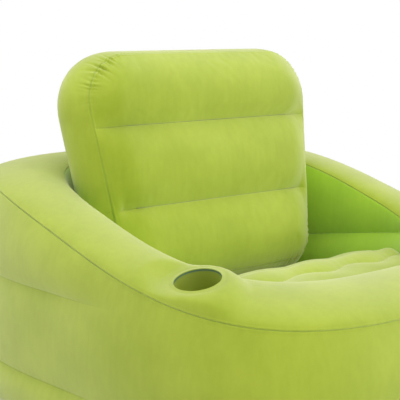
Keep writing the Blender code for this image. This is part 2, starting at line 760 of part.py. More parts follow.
def make_cup(frame, finish, plain):
    """Make the cup holder: its weld ring, its tapered side and its floor."""
    matrix = frame_matrix(frame)
    ring_low = GAP
    ring = [(CUP_RADIUS, ring_low), (CUP_RADIUS + CUP_RING_WIDTH, ring_low)]
    ring += [(radius, ring_low + CUP_RING_THICK) for radius, _ in reversed(ring)]
    turned("cup_ring", ring, matrix, finish, CUP_SIDES)
    side = [(CUP_RADIUS, 0.0), (CUP_RADIUS + CUP_WALL, 0.0)]
    side += [(CUP_FLOOR_RADIUS + CUP_WALL, -CUP_DEPTH), (CUP_FLOOR_RADIUS, -CUP_DEPTH)]
    turned("cup_side", side, matrix, plain, CUP_SIDES)
    top = -CUP_DEPTH - GAP
    low = top - CUP_WALL
    radius = CUP_FLOOR_RADIUS + CUP_WALL
    floor = [(0.0, top), (radius, top), (radius, low), (0.0, low)]
    turned("cup_floor", floor, matrix, plain, CUP_SIDES)


# The backrest, in its own plane

def back_matrix():
    """Return the matrix from the backrest's plane to the chair.

    X runs across, Y up the lean and Z rearwards, from the middle of the lower front seam.
    """
    lean = math.radians(BACK_LEAN)
    x_axis = (-1.0, 0.0, 0.0)
    up = (0.0, math.sin(lean), math.cos(lean))
    rear = (0.0, math.cos(lean), -math.sin(lean))
    centre = (0.0, BACK_FOOT_Y, BACK_FOOT_HEIGHT)
    return frame_matrix((centre, x_axis, up, rear))


def in_chair(points):
    """Move points from the backrest's plane to the chair."""
    matrix = np.array(back_matrix())
    return points @ matrix[:3, :3].T + matrix[:3, 3]


def turns_in_chair(vectors):
    """Turn directions from the backrest's plane to the chair."""
    return vectors @ np.array(back_matrix())[:3, :3].T


def back_outline():
    """Return the backrest's front seam: a trapezium with round corners, counter-clockwise."""
    low, high = BACK_LOWER_WIDTH / 2, BACK_UPPER_WIDTH / 2
    corners = [(-low, 0.0), (low, 0.0), (high, BACK_HEIGHT), (-high, BACK_HEIGHT)]
    rounds = [BACK_FOOT_ROUND, BACK_FOOT_ROUND, BACK_TOP_ROUND, BACK_TOP_ROUND]
    arcs = []
    for index, (corner, radius) in enumerate(zip(corners, rounds)):
        before, after = np.array(corners[index - 1]), np.array(corners[(index + 1) % 4])
        corner = np.array(corner)
        back, ahead = unit(before - corner), unit(after - corner)
        half = math.acos(float(back @ ahead)) / 2
        centre = corner + unit(back + ahead) * radius / math.sin(half)
        start = centre - radius * unit(back + ahead)
        first, last = corner + back * radius / math.tan(half), corner + ahead * radius / math.tan(half)
        a0 = math.atan2(*(first - centre)[::-1])
        turn = math.pi - 2 * half
        steps = max(3, round(radius * turn / (BACK_STEP / 2)))
        angles = a0 + turn * np.linspace(0.0, 1.0, steps + 1)
        arcs.append(centre + radius * np.stack([np.cos(angles), np.sin(angles)], axis=-1))
    points = []
    for arc, following in zip(arcs, arcs[1:] + arcs[:1]):
        points += list(arc)
        run = following[0] - arc[-1]
        steps = max(1, round(float(np.hypot(*run)) / BACK_STEP))
        points += [arc[-1] + run * k / steps for k in range(1, steps)]
    return np.array(points)


def outline_normals(outline):
    """Return the outward normals of a counter-clockwise outline at its points."""
    run = np.roll(outline, -1, axis=0) - np.roll(outline, 1, axis=0)
    return unit(np.stack([run[:, 1], -run[:, 0]], axis=-1))


def edge_distance(points, outline):
    """Return each point's distance to a closed outline."""
    starts, runs = outline, np.roll(outline, -1, axis=0) - outline
    away = points[:, None] - starts[None]
    share = np.clip((away * runs).sum(-1) / (runs * runs).sum(-1), 0.0, 1.0)
    return np.linalg.norm(away - share[..., None] * runs, axis=-1).min(axis=1)


def back_swell(points, outline):
    """Return how far a backrest face swells: lobes between welds, rounded to the seam."""
    x, up = points[:, 0], points[:, 1]
    bounds = (0.0,) + BACK_WELDS_UP + (BACK_HEIGHT,)
    lobes = np.zeros_like(x)
    for low, high in zip(bounds[:-1], bounds[1:]):
        share = np.clip((up - low) / (high - low), 0.0, 1.0)
        lobes = np.maximum(lobes, np.sqrt(np.clip(4.0 * share * (1.0 - share), 0.0, 1.0)))
    half = mix(BACK_LOWER_WIDTH, BACK_UPPER_WIDTH, up / BACK_HEIGHT) / 2
    held = smooth((half - np.abs(x)) / BACK_WELD_STOP - BACK_WELD_FADE_SHARE)
    near_end = (up < BACK_WELDS_UP[0] / 2) | (up > (BACK_WELDS_UP[-1] + BACK_HEIGHT) / 2)
    lobes = np.where(near_end, 1.0, mix(1.0, lobes, held))
    crown = mix(BACK_WELD_RISE, BACK_CROWN, lobes)
    share = np.clip(edge_distance(points, outline) / BACK_EDGE_ROUND, 0.0, 1.0)
    return crown * np.sqrt(share * (2.0 - share))


def back_lines(outline):
    """Return the lines that a backrest face's mesh follows: welds and lobes."""
    half = BACK_UPPER_WIDTH / 2
    x = np.linspace(-half, half, 2 * round(half / BACK_STEP) + 1)
    bounds = (0.0,) + BACK_WELDS_UP + (BACK_HEIGHT,)
    ups = list(BACK_WELDS_UP)
    for low, high in zip(bounds[:-1], bounds[1:]):
        ups += [mix(low, high, share) for share in BACK_ROW_SHARES]
    return [np.stack([x, np.full_like(x, up)], axis=-1) for up in ups]


def shrunk(outline, distance):
    """Return an outline drawn in along its normals."""
    return outline - outline_normals(outline) * distance


def make_back_face(name, outline, side, finish):
    """Make the front face, for side -1, or the rear face, for side 1, of the backrest."""
    rings = [shrunk(outline, BACK_EDGE_ROUND / 8), shrunk(outline, BACK_EDGE_ROUND / 2.5)]
    plan, triangles = triangulate(outline, rings, back_lines(outline))
    base = BACK_THICKNESS if side > 0 else 0.0
    swell = back_swell(plan, outline)
    points = np.concatenate([plan, (base + side * swell)[:, None]], axis=-1)
    normals = outline_normals(outline)
    count = len(outline)
    mitre = np.concatenate([-normals, np.full((count, 1), -float(side))], axis=-1)
    apart = np.concatenate([-normals, np.full((count, 1), float(side))], axis=-1)
    points[:count] += unit(apart) * GAP / 2
    offsets = turns_in_chair(mitre * SHEET)
    if side < 0:
        triangles = triangles[:, ::-1]
    placed = in_chair(points)
    return shell(name, placed, triangles, finish, {i: offsets[i] for i in range(count)})


def make_gusset(outline, finish):
    """Make the band that joins the backrest's faces, swollen less along its top."""
    normals = outline_normals(outline)
    count = len(outline)
    upward = np.clip(normals[:, 1:], 0.0, 1.0)
    bulge = mix(GUSSET_BULGE, GUSSET_TOP_BULGE, upward ** 2)
    rows = []
    for share in np.linspace(0.0, 1.0, 5):
        plan = outline + normals * bulge * math.sin(math.pi * share)
        rows.append(np.concatenate([plan, np.full((count, 1), BACK_THICKNESS * share)], axis=-1))
    steps = []
    for row, side in ((0, -1.0), (-1, 1.0)):
        apart = np.concatenate([-normals, np.full((count, 1), side)], axis=-1)
        rows[row] = rows[row] - unit(apart) * GAP / 2
        mitre = np.concatenate([-normals, np.full((count, 1), -side)], axis=-1)
        steps.append(turns_in_chair(mitre * SHEET))
    placed = [in_chair(row) for row in rows]
    return ring_shell("backrest_gusset", placed, finish, steps[0], steps[1])


def make_back_webs(outline, plain):
    """Make the two sheets inside the backrest that join its faces at the welds."""
    inner = shrunk(outline, BACK_WELD_STOP)
    for name, up in zip(("backrest_web_lower", "backrest_web_upper"), BACK_WELDS_UP):
        line = next(l for l in back_lines(outline) if l[0, 1] == up)
        line = line[inside(line, inner)]
        clear = SHEET + 2 * GAP
        depth = back_swell(line, outline) - clear
        low = line - np.array([0.0, SHEET / 2])
        front = np.concatenate([low, -depth[:, None]], axis=-1)
        rear = np.concatenate([low, (BACK_THICKNESS + depth)[:, None]], axis=-1)
        step = turns_in_chair(np.array([0.0, SHEET, 0.0]))
        strip(name, in_chair(front), in_chair(rear), step, plain)


# The film hinge

def hinge_axis():
    """Return the depth and height of the fold between the hinge's leaves."""
    height = float(seat_body(np.array([HINGE_Y]))[0]) + HINGE_RISE
    return HINGE_Y, height


def make_hinge(plain):
    """Make the hinge's two leaves: one on the seat and one up to the backrest's foot."""
    axis_y, axis_z = hinge_axis()
    axis = np.array([axis_y, axis_z])
    slope = unit([SHELF_Y - SEAT_SLOPE_END_Y, shelf_height() - SEAT_SLOPE_END_HEIGHT])
    make_leaf("hinge_leaf_lower", axis, slope, HINGE_LEAF_DEPTH, plain)
    lean = math.radians(BACK_LEAN)
    rear = np.array([math.cos(lean), -math.sin(lean)])
    up = np.array([math.sin(lean), math.cos(lean)])
    first = BACK_THICKNESS / 4
    drop = GUSSET_BULGE * math.sin(math.pi / 4)
    foot = np.array([BACK_FOOT_Y, BACK_FOOT_HEIGHT])
    target = foot + rear * first / 2 - up * (drop / 2 + SHEET + GAP)
    run = target - axis
    make_leaf("hinge_leaf_upper", axis, unit(run), float(np.hypot(*run)), plain)


def make_leaf(name, axis, along, length, plain):
    """Make one leaf of the film hinge, from its fold line outwards."""
    side = np.array([-along[1], along[0]])
    verts = []
    for x in (-HINGE_HALF_WIDTH, HINGE_HALF_WIDTH):
        for reach, rise_by in ((HINGE_CLEARANCE, -1), (length, -1), (length, 1), (HINGE_CLEARANCE, 1)):
            point = axis + along * reach + side * rise_by * SHEET / 2
            verts.append((x, point[0], point[1]))
    faces = [(0, 1, 2, 3), (7, 6, 5, 4)]
    faces += [(i, i + 4, (i + 1) % 4 + 4, (i + 1) % 4) for i in range(4)]
    return add_object(name, verts, faces, plain, is_round=False)


# Valves

def make_valve(prefix, matrix, carrier, plastic):
    """Make a valve: its body in the carrier's sheet, its plug, the plug's cap and flap.

    In the valve's own space Z points out of the sheet, X points to the side that the plug
    swings to, and the origin is on the sheet's outer face.
    """
    outer = VALVE_BORE_RADIUS + VALVE_WALL
    cut_round_hole(carrier, matrix, outer + GAP, CUT_OVERRUN, VALVE_SIDES)
    top = VALVE_STANDS_OUT
    flange_top = -VALVE_SINK
    flange_low = flange_top - VALVE_FLANGE_THICK
    body = [(VALVE_BORE_RADIUS, top), (outer, top), (outer, flange_top)]
    body += [(VALVE_FLANGE_RADIUS, flange_top), (VALVE_FLANGE_RADIUS, flange_low)]
    body += [(outer, flange_low), (outer, -VALVE_THROAT_DEPTH), (VALVE_BORE_RADIUS, -VALVE_THROAT_DEPTH)]
    seat = turned(prefix + "_body", body, matrix, plastic, VALVE_SIDES)
    ear_low = (outer - VALVE_WALL / 2, -VALVE_EAR_WIDTH / 2, top - VALVE_EAR_THICK)
    ear_high = (VALVE_EAR_REACH, VALVE_EAR_WIDTH / 2, top)
    boolean(seat, helper(prefix + "_ear", box_mesh(ear_low, ear_high), matrix), "UNION")
    make_plug(prefix, matrix, top + GAP, plastic)
    make_cap(prefix, matrix, top + GAP + PLUG_DISC_THICK + GAP, plastic)
    make_flap(prefix, matrix, top + GAP - PLUG_PEG_DEPTH - GAP, plastic)


def hinged(obj, matrix, pivot):
    """Put an object's origin at its pivot, given in the valve's space."""
    obj.data.transform(Matrix.Translation(-Vector(pivot)))
    obj.matrix_world = matrix @ Matrix.Translation(Vector(pivot))


def make_plug(prefix, matrix, seat, plastic):
    """Make the plug: a disc with a peg in the throat and a strap to its pivot."""
    peg = VALVE_BORE_RADIUS - SLIDE_GAP
    high = seat + PLUG_DISC_THICK
    profile = [(PLUG_BORE_RADIUS, high), (PLUG_DISC_RADIUS, high), (PLUG_DISC_RADIUS, seat)]
    profile += [(peg, seat), (peg, seat - PLUG_PEG_DEPTH), (PLUG_BORE_RADIUS, seat - PLUG_PEG_DEPTH)]
    plug = turned(prefix + "_plug", profile, Matrix.Identity(4), plastic, VALVE_SIDES)
    pivot = (VALVE_EAR_REACH, 0.0, seat)
    hinged(plug, matrix, pivot)
    strap_low = (PLUG_DISC_RADIUS - VALVE_WALL, -VALVE_EAR_WIDTH / 2, seat)
    strap_high = (VALVE_EAR_REACH, VALVE_EAR_WIDTH / 2, seat + VALVE_EAR_THICK)
    boolean(plug, helper(prefix + "_strap", box_mesh(strap_low, strap_high), matrix), "UNION")


def make_cap(prefix, matrix, seat, plastic):
    """Make the cap: a small disc with a peg in the plug's bore and a strap."""
    peg = PLUG_BORE_RADIUS - SLIDE_GAP
    high = seat + CAP_DISC_THICK
    profile = [(0.0, high), (CAP_DISC_RADIUS, high), (CAP_DISC_RADIUS, seat)]
    profile += [(peg, seat), (peg, seat - CAP_PEG_DEPTH), (0.0, seat - CAP_PEG_DEPTH)]
    cap = turned(prefix + "_cap", profile, Matrix.Identity(4), plastic, VALVE_SIDES)
    hinged(cap, matrix, (0.0, CAP_EAR_REACH, seat))
    strap_low = (-VALVE_EAR_WIDTH / 4, CAP_DISC_RADIUS - VALVE_WALL, seat)
    strap_high = (VALVE_EAR_WIDTH / 4, CAP_EAR_REACH, seat + CAP_DISC_THICK / 2)
    boolean(cap, helper(prefix + "_cap_strap", box_mesh(strap_low, strap_high), matrix), "UNION")


def make_flap(prefix, matrix, seat, plastic):
    """Make the one-way flap that hangs under the plug's bore."""
    low = seat - FLAP_THICK
    profile = [(0.0, seat), (FLAP_RADIUS, seat), (FLAP_RADIUS, low), (0.0, low)]
    flap = turned(prefix + "_flap", profile, Matrix.Identity(4), plastic, VALVE_SIDES)
    hinged(flap, matrix, (FLAP_RADIUS, 0.0, seat))


def tub_valve_matrix():
    """Return the place of the tub's valve, at the middle of its back wall."""
    centre = (0.0, TUB_DEPTH / 2, TUB_VALVE_HEIGHT)
    return frame_matrix((centre, (0.0, 0.0, 1.0), (1.0, 0.0, 0.0), (0.0, 1.0, 0.0)))


def back_valve_matrix(outline):
    """Return the place of the backrest's valve, low on its rear face."""
    spot = np.array([[BACK_VALVE_ACROSS, BACK_VALVE_UP]])
    depth = BACK_THICKNESS + float(back_swell(spot, outline)[0])
    place = Matrix.Translation(Vector((BACK_VALVE_ACROSS, BACK_VALVE_UP, depth)))
    return back_matrix() @ place @ Matrix.Rotation(math.radians(90.0), 4, "Z")


def main():
    """Build the armchair."""
    clear_scene()
    flocked = material("flocked_sheet", (0.46, 0.55, 0.075), 0.9)
    plain = material("plain_sheet", (0.36, 0.44, 0.10), 0.5)
    plastic = material("valve_plastic", (0.62, 0.66, 0.55), 0.4)
    angles = ring_angles()
    frame = cup_frame()
    make_rim(angles, frame, flocked)
    outer, outer_rows, inner_rows = make_walls(angles, flocked, plain)
    make_ties(angles, outer_rows, inner_rows, plain)
    make_seat(angles, flocked, plain)
    make_cup(frame, flocked, plain)
    outline = back_outline()
    make_back_face("backrest_front_panel", outline, -1, flocked)
    rear = make_back_face("backrest_rear_panel", outline, 1, flocked)
    make_gusset(outline, flocked)
    make_back_webs(outline, plain)
    make_hinge(plain)
    make_valve("tub_valve", tub_valve_matrix(), outer, plastic)
    make_valve("backrest_valve", back_valve_matrix(outline), rear, plastic)


main()
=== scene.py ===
"""Looks of the inflatable armchair: its skins, welds, cup holder, valves and finishes.

Every skin is a grid of points worked out from a formula, in metres, in the same frame as
the construction: X to the sitter's left, Y to the back, Z up, origin on the floor.
"""
import math

import bmesh
import bpy
import numpy as np
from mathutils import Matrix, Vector


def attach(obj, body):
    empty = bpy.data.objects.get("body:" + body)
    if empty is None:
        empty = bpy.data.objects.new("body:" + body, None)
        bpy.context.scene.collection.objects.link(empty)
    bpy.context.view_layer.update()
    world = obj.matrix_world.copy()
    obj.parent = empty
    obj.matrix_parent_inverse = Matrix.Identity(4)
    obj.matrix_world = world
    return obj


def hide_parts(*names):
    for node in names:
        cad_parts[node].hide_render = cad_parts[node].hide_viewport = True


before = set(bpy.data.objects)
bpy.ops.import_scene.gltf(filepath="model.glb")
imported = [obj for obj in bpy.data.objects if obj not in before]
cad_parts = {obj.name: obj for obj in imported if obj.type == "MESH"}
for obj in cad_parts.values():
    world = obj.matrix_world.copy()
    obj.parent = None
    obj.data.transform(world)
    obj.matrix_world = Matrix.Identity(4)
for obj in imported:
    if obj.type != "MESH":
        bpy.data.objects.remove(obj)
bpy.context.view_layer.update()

# Sheets
SHEET = 0.001
SHEET_BEHIND = {"thickness": SHEET, "offset": -1.0, "use_even_offset": False}
GAP = 0.0003
FLOOR_CLEARANCE = 0.0013

# Plan of the tub
TUB_WIDTH = 1.04
TUB_DEPTH = 1.07
PLAN_POWER = 2.91
WELL_POWER = 2.80
ARM_WIDTH = 0.158
FRONT_RIM_WIDTH = 0.202
BACK_RIM_WIDTH = 0.191
RIM_SEAM_INSET = 0.028
BASE_SEAM_INSET = 0.045
BASE_RINGS = 14
WELL_FRONT_Y = FRONT_RIM_WIDTH - TUB_DEPTH / 2
WELL_BACK_Y = TUB_DEPTH / 2 - BACK_RIM_WIDTH
RING_COLUMNS = 900

# Rim: each pair is at the front and at the back, and its rows are a count and their pull
RIM_HEIGHTS = (0.281, 0.494)
RISE_START_Y = -TUB_DEPTH / 2 - 0.028
RISE_END_Y = TUB_DEPTH / 2 - 0.093
INNER_LIFTS = (0.004, 0.018)
RIM_CROWNS = (0.033, 0.014)
RIM_ROWS = (52, 0.88)

# Outer wall
UPPER_WELD_HEIGHT = 0.302
LOWER_WELD_HEIGHT = 0.119
WELD_INSET = 0.014
WELD_FULL_Y = 0.05
WELD_GONE_Y = -0.19
FRONT_LEVEL_SHARE = 0.8
LOBE_BULGES = (0.027, 0.014, 0.018)
LOBE_ROWS = 19
WALL_LOBE_POWER = 0.85

# Inner wall
INNER_WELD_HEIGHT = 0.317
INNER_WELD_SLOPE_SHARE = 0.15
INNER_BAND_LEAST = 0.010
INNER_WELD_INSET = -0.004
SEAT_EDGE_INSET = 0.010
INNER_UPPER_BULGE_SHARE = 0.10
INNER_LOWER_BULGE_SHARE = 0.15
INNER_LOBE_POWER = 0.85
INNER_ROWS = 19

# Seat
SHELF_DEPTH = 0.289
SEAT_SLOPE_END_Y = WELL_BACK_Y - SHELF_DEPTH
SHELF_Y = SEAT_SLOPE_END_Y + 0.045
SEAT_RUN = SEAT_SLOPE_END_Y - WELL_FRONT_Y
SEAT_FRONT_Y = WELL_FRONT_Y + 0.085 * SEAT_RUN
SEAT_CREST_Y = WELL_FRONT_Y + 0.433 * SEAT_RUN
CHANNEL_YS = tuple(WELL_FRONT_Y + share * SEAT_RUN for share in (0.330, 0.554, 0.778))
CHANNEL_PITCH = CHANNEL_YS[1] - CHANNEL_YS[0]
CHANNEL_DEPTH = 0.010
CHANNEL_POWER = 0.75
SEAT_EDGE_BACK_HEIGHT = 0.218
SEAT_EDGE_FRONT_HEIGHT = 0.274
SEAT_EDGE_TURN_BACK_Y = SEAT_SLOPE_END_Y + 0.065
SEAT_EDGE_TURN_FRONT_Y = WELL_FRONT_Y + 0.140
SEAT_EDGE_ROUND = 0.045
SEAT_FRONT_HEIGHT = 0.295
SEAT_CREST_HEIGHT = 0.306
SEAT_SLOPE_END_HEIGHT = 0.240
SEAT_SLOPE_POWER = 1.2
WAVE_LENGTH = 0.15
WAVE_SWING = 0.009
WAVE_SHIFT = 0.035
SEAT_STEPS = 210

# Cup holder
CUP_PLAN_ANGLE = math.radians(215.3)
CUP_ACROSS_ANGLE = math.radians(82.8)
CUP_TANGENT_ANGLE = math.radians(4.0)
CUP_LEAN_OUT = math.radians(15.5)
CUP_LEAN_AHEAD = math.radians(4.2)
CUP_RADIUS = 0.0437
CUP_FLOOR_RADIUS = 0.036
CUP_FLOOR_DOME = 0.0012
CUP_DEPTH = 0.074
CUP_WALL = 0.0012
CUP_BOW = 0.0016
CUP_RING_WIDTH = 0.009
CUP_RING_THICK = 0.0015
CUP_RING_EDGE = 0.0001
CUP_RING_FALL_POWER = 1.4
CUP_FLAT_RADIUS = 0.0535
CUP_BLEND_RADIUS = 0.120
CUP_WELL_BLEND_RADIUS = 0.088
CUP_SEAM_BLEND_ANGLE = math.pi / 6
CUP_SWELL_RADIUS = 0.0590
CUP_SWELL_WIDTH = 0.0045
CUP_SWELL = 0.0007
CUP_LIP_DEPTH = 0.0030
CUP_SIDES = 128

# Backrest, in its own plane: across, up the lean and rearwards
BACK_LOWER_WIDTH = 0.544
BACK_UPPER_WIDTH = 0.659
BACK_HEIGHT = 0.488
BACK_THICKNESS = 0.108
BACK_LEAN = math.radians(10.96)
BACK_FOOT_Y = SEAT_SLOPE_END_Y + 0.010
BACK_FOOT_HEIGHT = 0.264
BACK_TOP_ROUND = 0.107
BACK_FOOT_ROUND = 0.060
BACK_WELDS_UP = (0.165, 0.337)
BACK_WELD_STOPS = (0.0, -0.004)
BACK_WELD_FADES = (0.030, 0.006)
BACK_BEND_REACH = 0.026
BACK_BEND_DROP = 0.009
BACK_BEND_HEIGHT = 0.05
BACK_CROWN = 0.034
BACK_WELD_RISE = 0.012
BACK_WELD_RUN = 0.090
BACK_LOBE_POWER = 0.68
BACK_EDGE_ROUND = 0.070
BACK_EDGE_POWER = 0.85
GUSSET_BULGE = 0.031
GUSSET_TOP_BULGE = 0.013
GUSSET_GIRTH_SHARE = 1.15
GUSSET_ROWS = (21, 0.85)
BACK_COLUMNS = (141, 0.85)
BACK_ARC_ROWS = (34, 84)
BACK_LOBE_ROWS = (30, 0.8)
BACK_MERGE = 0.00001

# Air in the backrest's cloth, which is held at its welds, its foot and its valve
BACK_CLOTH = {"quality": 3, "mass": 0.1, "tension_stiffness": 25.0, "compression_stiffness": 25.0,
              "shear_stiffness": 4.0, "bending_stiffness": 1.5, "shrink_min": -0.001,
              "use_pressure": True, "uniform_pressure_force": 2.5}
BACK_AIR_FRAMES = 12
BACK_AIR_REACH = 0.004
BACK_AIR_HELD = 0.002
BACK_AIR_FADE_SHARE = 0.8
BACK_FOOT_HELD = 0.01
BACK_FOOT_BLEND = 0.032
BACK_VALVE_HELD = 0.03

# Seams: a narrow tuck, a low bead beside it, and the flock pressed flat
TUCK_DEPTH = 0.0005
TUCK_WIDTH = 0.0010
BEAD_HEIGHT = 0.0008
BEAD_AWAY = 0.0028
BEAD_WIDTH = 0.0012
PRESSED_WIDTH = 0.0008
CREASE_PRESSED = 0.35
SEAM_SLANT_REACH = 0.02

# Gentle relief of each skin: height, wavelength, seed, and how far from a seam it is full
RIM_RELIEF = (0.0009, 0.22, 11, 0.03)
OUTER_WALL_RELIEF = (0.0012, 0.26, 23, 0.03)
INNER_WALL_RELIEF = (0.0010, 0.24, 41, 0.03)
SEAT_RELIEF = (0.0008, 0.13, 53, 0.03)
SEAT_RELIEF_FADE = 0.02
BACK_RELIEFS = ((0.0010, 0.20, 71, 0.04), (0.0010, 0.20, 73, 0.04))

# Folds that run away from a seam or weld: count, seed, width, reach and depth
OUTER_SEAM_FOLDS = (150, 3, 0.0070, 0.018, 0.00022)
INNER_SEAM_FOLDS = (110, 5, 0.0070, 0.018, 0.00022)
BASE_SEAM_FOLDS = (120, 9, 0.0090, 0.024, 0.00060)
OUTER_WELD_FOLDS = ((130, 49, 0.008, 0.014, 0.00022), (130, 67, 0.008, 0.014, 0.00022))
INNER_WELD_FOLDS = (100, 17, 0.0075, 0.018, 0.00035)
SEAT_EDGE_FOLDS = (90, 19, 0.009, 0.024, 0.00060)
CHANNEL_FOLDS = (60, 61, 0.007, 0.020, 0.0005)
BACK_PUCKERS = (200, 71, 0.0042, 0.021, 0.0046)
FOLD_LEAST = 0.00002

# Spread of the folds' places, widths, reaches, depths and slants, as shares
FOLD_SPREADS = ((-0.38, 0.38), (0.65, 1.35), (0.4, 1.25), (0.3, 1.0), (-0.3, 0.3))

# Where the backrest's seam puckers: across, up, strength, and spread along the seam
PUCKER_CORNERS = ((BACK_UPPER_WIDTH / 2 - 0.03, BACK_HEIGHT - 0.03, 1.0, 0.055),
                  (0.02 - BACK_LOWER_WIDTH / 2, 0.02, 1.0, 0.07),
                  (0.03 - BACK_UPPER_WIDTH / 2, BACK_HEIGHT - 0.03, 0.35, 0.05),
                  (BACK_LOWER_WIDTH / 2 - 0.02, 0.02, 0.6, 0.05))
PUCKER_LEAST = 0.06

# Valves
VALVE_BORE_RADIUS = 0.0100
VALVE_WALL = 0.0020
VALVE_STANDS_OUT = 0.0045
VALVE_SINK = 0.0045
VALVE_FLANGE_RADIUS = 0.023
VALVE_FLANGE_THICK = 0.0012
VALVE_THROAT_DEPTH = 0.013
VALVE_EAR_REACH = 0.0170
VALVE_EAR_WIDTH = 0.0060
VALVE_EAR_THICK = 0.0015
PLUG_DISC_RADIUS = 0.0125
PLUG_DISC_THICK = 0.0020
PLUG_PEG_DEPTH = 0.0050
PLUG_BORE_RADIUS = 0.0045
SLIDE_GAP = 0.0006
CAP_DISC_RADIUS = 0.0068
CAP_DISC_THICK = 0.0016
CAP_PEG_DEPTH = 0.0028
CAP_EAR_REACH = 0.0105
FLAP_RADIUS = 0.0062
FLAP_THICK = 0.0008
VALVE_SIDES = 72
VALVE_ROUND = 0.0004
TUB_VALVE_HEIGHT = 0.210
BACK_VALVE_UP = 0.085
BACK_VALVE_ACROSS = 0.150
SHARP_ANGLE = math.radians(40.0)

# Camera, light and floor
CAMERA_PLACE = (-1.7239, -1.7491, 0.8029)
CAMERA_TURN = (math.radians(79.0932), 0.0, math.radians(-41.0944))
CAMERA = {"sensor_fit": "HORIZONTAL", "sensor_width": 36.0, "lens": 103.51, "shift_x": 0.0561,
          "shift_y": 0.1155, "clip_end": 60.0}
SKY_STRENGTH = 0.03
LAMPS = {"top_lamp": ((-0.4, 0.2, 3.2), 2.6, 64.0), "rear_left_lamp": ((-3.0, 2.0, 1.3), 2.4, 45.0),
         "front_lamp": ((1.0, -3.4, 1.3), 2.4, 48.0), "right_lamp": ((3.2, -0.6, 1.6), 2.4, 45.0),
         "near_lamp": ((-1.6, -2.9, 2.2), 2.4, 33.0)}
LAMPS_FACE = (0.0, 0.0, 0.3)
FLOOR_HALF = 40.0
FLOOR_GREY = (0.80, 0.80, 0.80, 1.0)
FLOOR_WHITE_SHARE = 0.81
FLOOR_WHITE_SLOPE = 0.11
WHITE = (1.0, 1.0, 1.0, 1.0)


def from_srgb(red, green, blue):
    """Return a linear colour with alpha from eight-bit screen values."""
    shares = [value / 255.0 for value in (red, green, blue)]
    linear = [s / 12.92 if s <= 0.04045 else ((s + 0.055) / 1.055) ** 2.4 for s in shares]
    return (*linear, 1.0)


# Colours: flock brushed down and up, film light and dark with its roughness
NAP = (from_srgb(165, 186, 30), from_srgb(184, 203, 52))
# Painted shade: the inner wall's flock is the same flock made greener, for the green cast of the shaded well
WELL_SHADE_NAP = (from_srgb(162, 208, 24), from_srgb(178, 220, 42))
PRESSED_NAP = from_srgb(128, 166, 14)
SHEEN_TINT = from_srgb(250, 246, 222)
FILM = (from_srgb(172, 186, 112), from_srgb(152, 168, 88), 0.48)
CUP_FILM = (from_srgb(168, 184, 72), from_srgb(150, 165, 55), 0.42)
CUP_LIP = from_srgb(84, 122, 104)
VALVE_PLASTIC = (from_srgb(196, 206, 166), from_srgb(214, 222, 190))


# Numbers and grids

def smooth(share):
    """Return the smooth step of a share, level below 0 and above 1."""
    share = np.clip(share, 0.0, 1.0)
    return share * share * (3.0 - 2.0 * share)


def mix(low, high, share):
    """Return the value at a share of the way from low to high."""
    return low + (high - low) * share


def unit(vectors):
    """Return the vectors at length one."""
    vectors = np.asarray(vectors, dtype=float)
    return vectors / np.maximum(np.linalg.norm(vectors, axis=-1, keepdims=True), 1e-12)


def clustered(count, pull=0.86):
    """Return shares from 0 to 1 that crowd at both ends."""
    t = np.linspace(0.0, 1.0, count)
    return t - pull * np.sin(2.0 * np.pi * t) / (2.0 * np.pi)


def lobe(share, power):
    """Return a lobe's swell: the parabola 4s(1 - s), made fuller by a power."""
    return np.clip(4.0 * share * (1.0 - share), 0.0, 1.0) ** power


def bell(distance, width):
    """Return a bell curve of a distance: 1 at none."""
    return np.exp(-(distance / width) ** 2)


def circle(radius, sides):
    """Return the points of a circle."""
    angles = np.linspace(0.0, 2.0 * np.pi, sides, endpoint=False)
    return radius * np.stack([np.cos(angles), np.sin(angles)], axis=-1)


def raised(plan, heights):
    """Return plan points at their heights."""
    return np.concatenate([plan, np.broadcast_to(heights, plan.shape[:-1])[..., None]], axis=-1)


def placed(points, matrix):
    """Return points moved by a 4 by 4 matrix."""
    return points @ matrix[:3, :3].T + matrix[:3, 3]


def placing(centre, x_axis, y_axis, z_axis):
    """Return the 4 by 4 matrix of a centre and three axes."""
    matrix = np.eye(4)
    matrix[:3] = np.stack([x_axis, y_axis, z_axis, centre], axis=-1)
    return matrix


def grid_quads(rows, columns, wraps):
    """Return the quads of a grid of points."""
    start = (np.arange(rows - 1) * columns)[:, None]
    near = np.arange(columns if wraps else columns - 1)[None]
    after = (near + 1) % columns
    corners = [start + near, start + after, start + columns + after, start + columns + near]
    return np.stack(np.broadcast_arrays(*corners), axis=-1).reshape(-1, 4)


def grid_normals(grid):
    """Return the normals of a ring grid."""
    along = np.roll(grid, -1, axis=1) - np.roll(grid, 1, axis=1)
    return unit(np.cross(along, np.gradient(grid, axis=0)))


def row_distances(grid):
    """Return each point's distance from its grid's first row and from the last."""
    steps = np.linalg.norm(np.diff(grid, axis=0), axis=-1)
    from_first = np.concatenate([np.zeros((1, grid.shape[1])), np.cumsum(steps, axis=0)])
    return from_first, from_first[-1] - from_first


def column_lengths(row):
    """Return each point's distance along a closed row, and the row's length."""
    steps = np.linalg.norm(np.roll(row, -1, axis=0) - row, axis=-1)
    return np.concatenate([[0.0], np.cumsum(steps)[:-1]]), float(steps.sum())


def around(distance, length):
    """Return a distance along a closed line, as the shorter way round."""
    return (distance + length / 2) % length - length / 2


def undulation(points, away, height, wavelength, seed, full):
    """Return a gentle random relief, a mean of plane waves, that fades near a seam."""
    rng = np.random.default_rng(seed)
    rates = 2.0 * np.pi / wavelength * rng.uniform(0.6, 1.3, 7)
    directions = unit(rng.normal(size=(7, 3))) * rates[:, None]
    phases = rng.uniform(0.0, 2.0 * np.pi, 7)
    waves = np.cos(points @ directions.T + phases).mean(axis=-1) * math.sqrt(2.0)
    return height * waves * smooth(away / full)


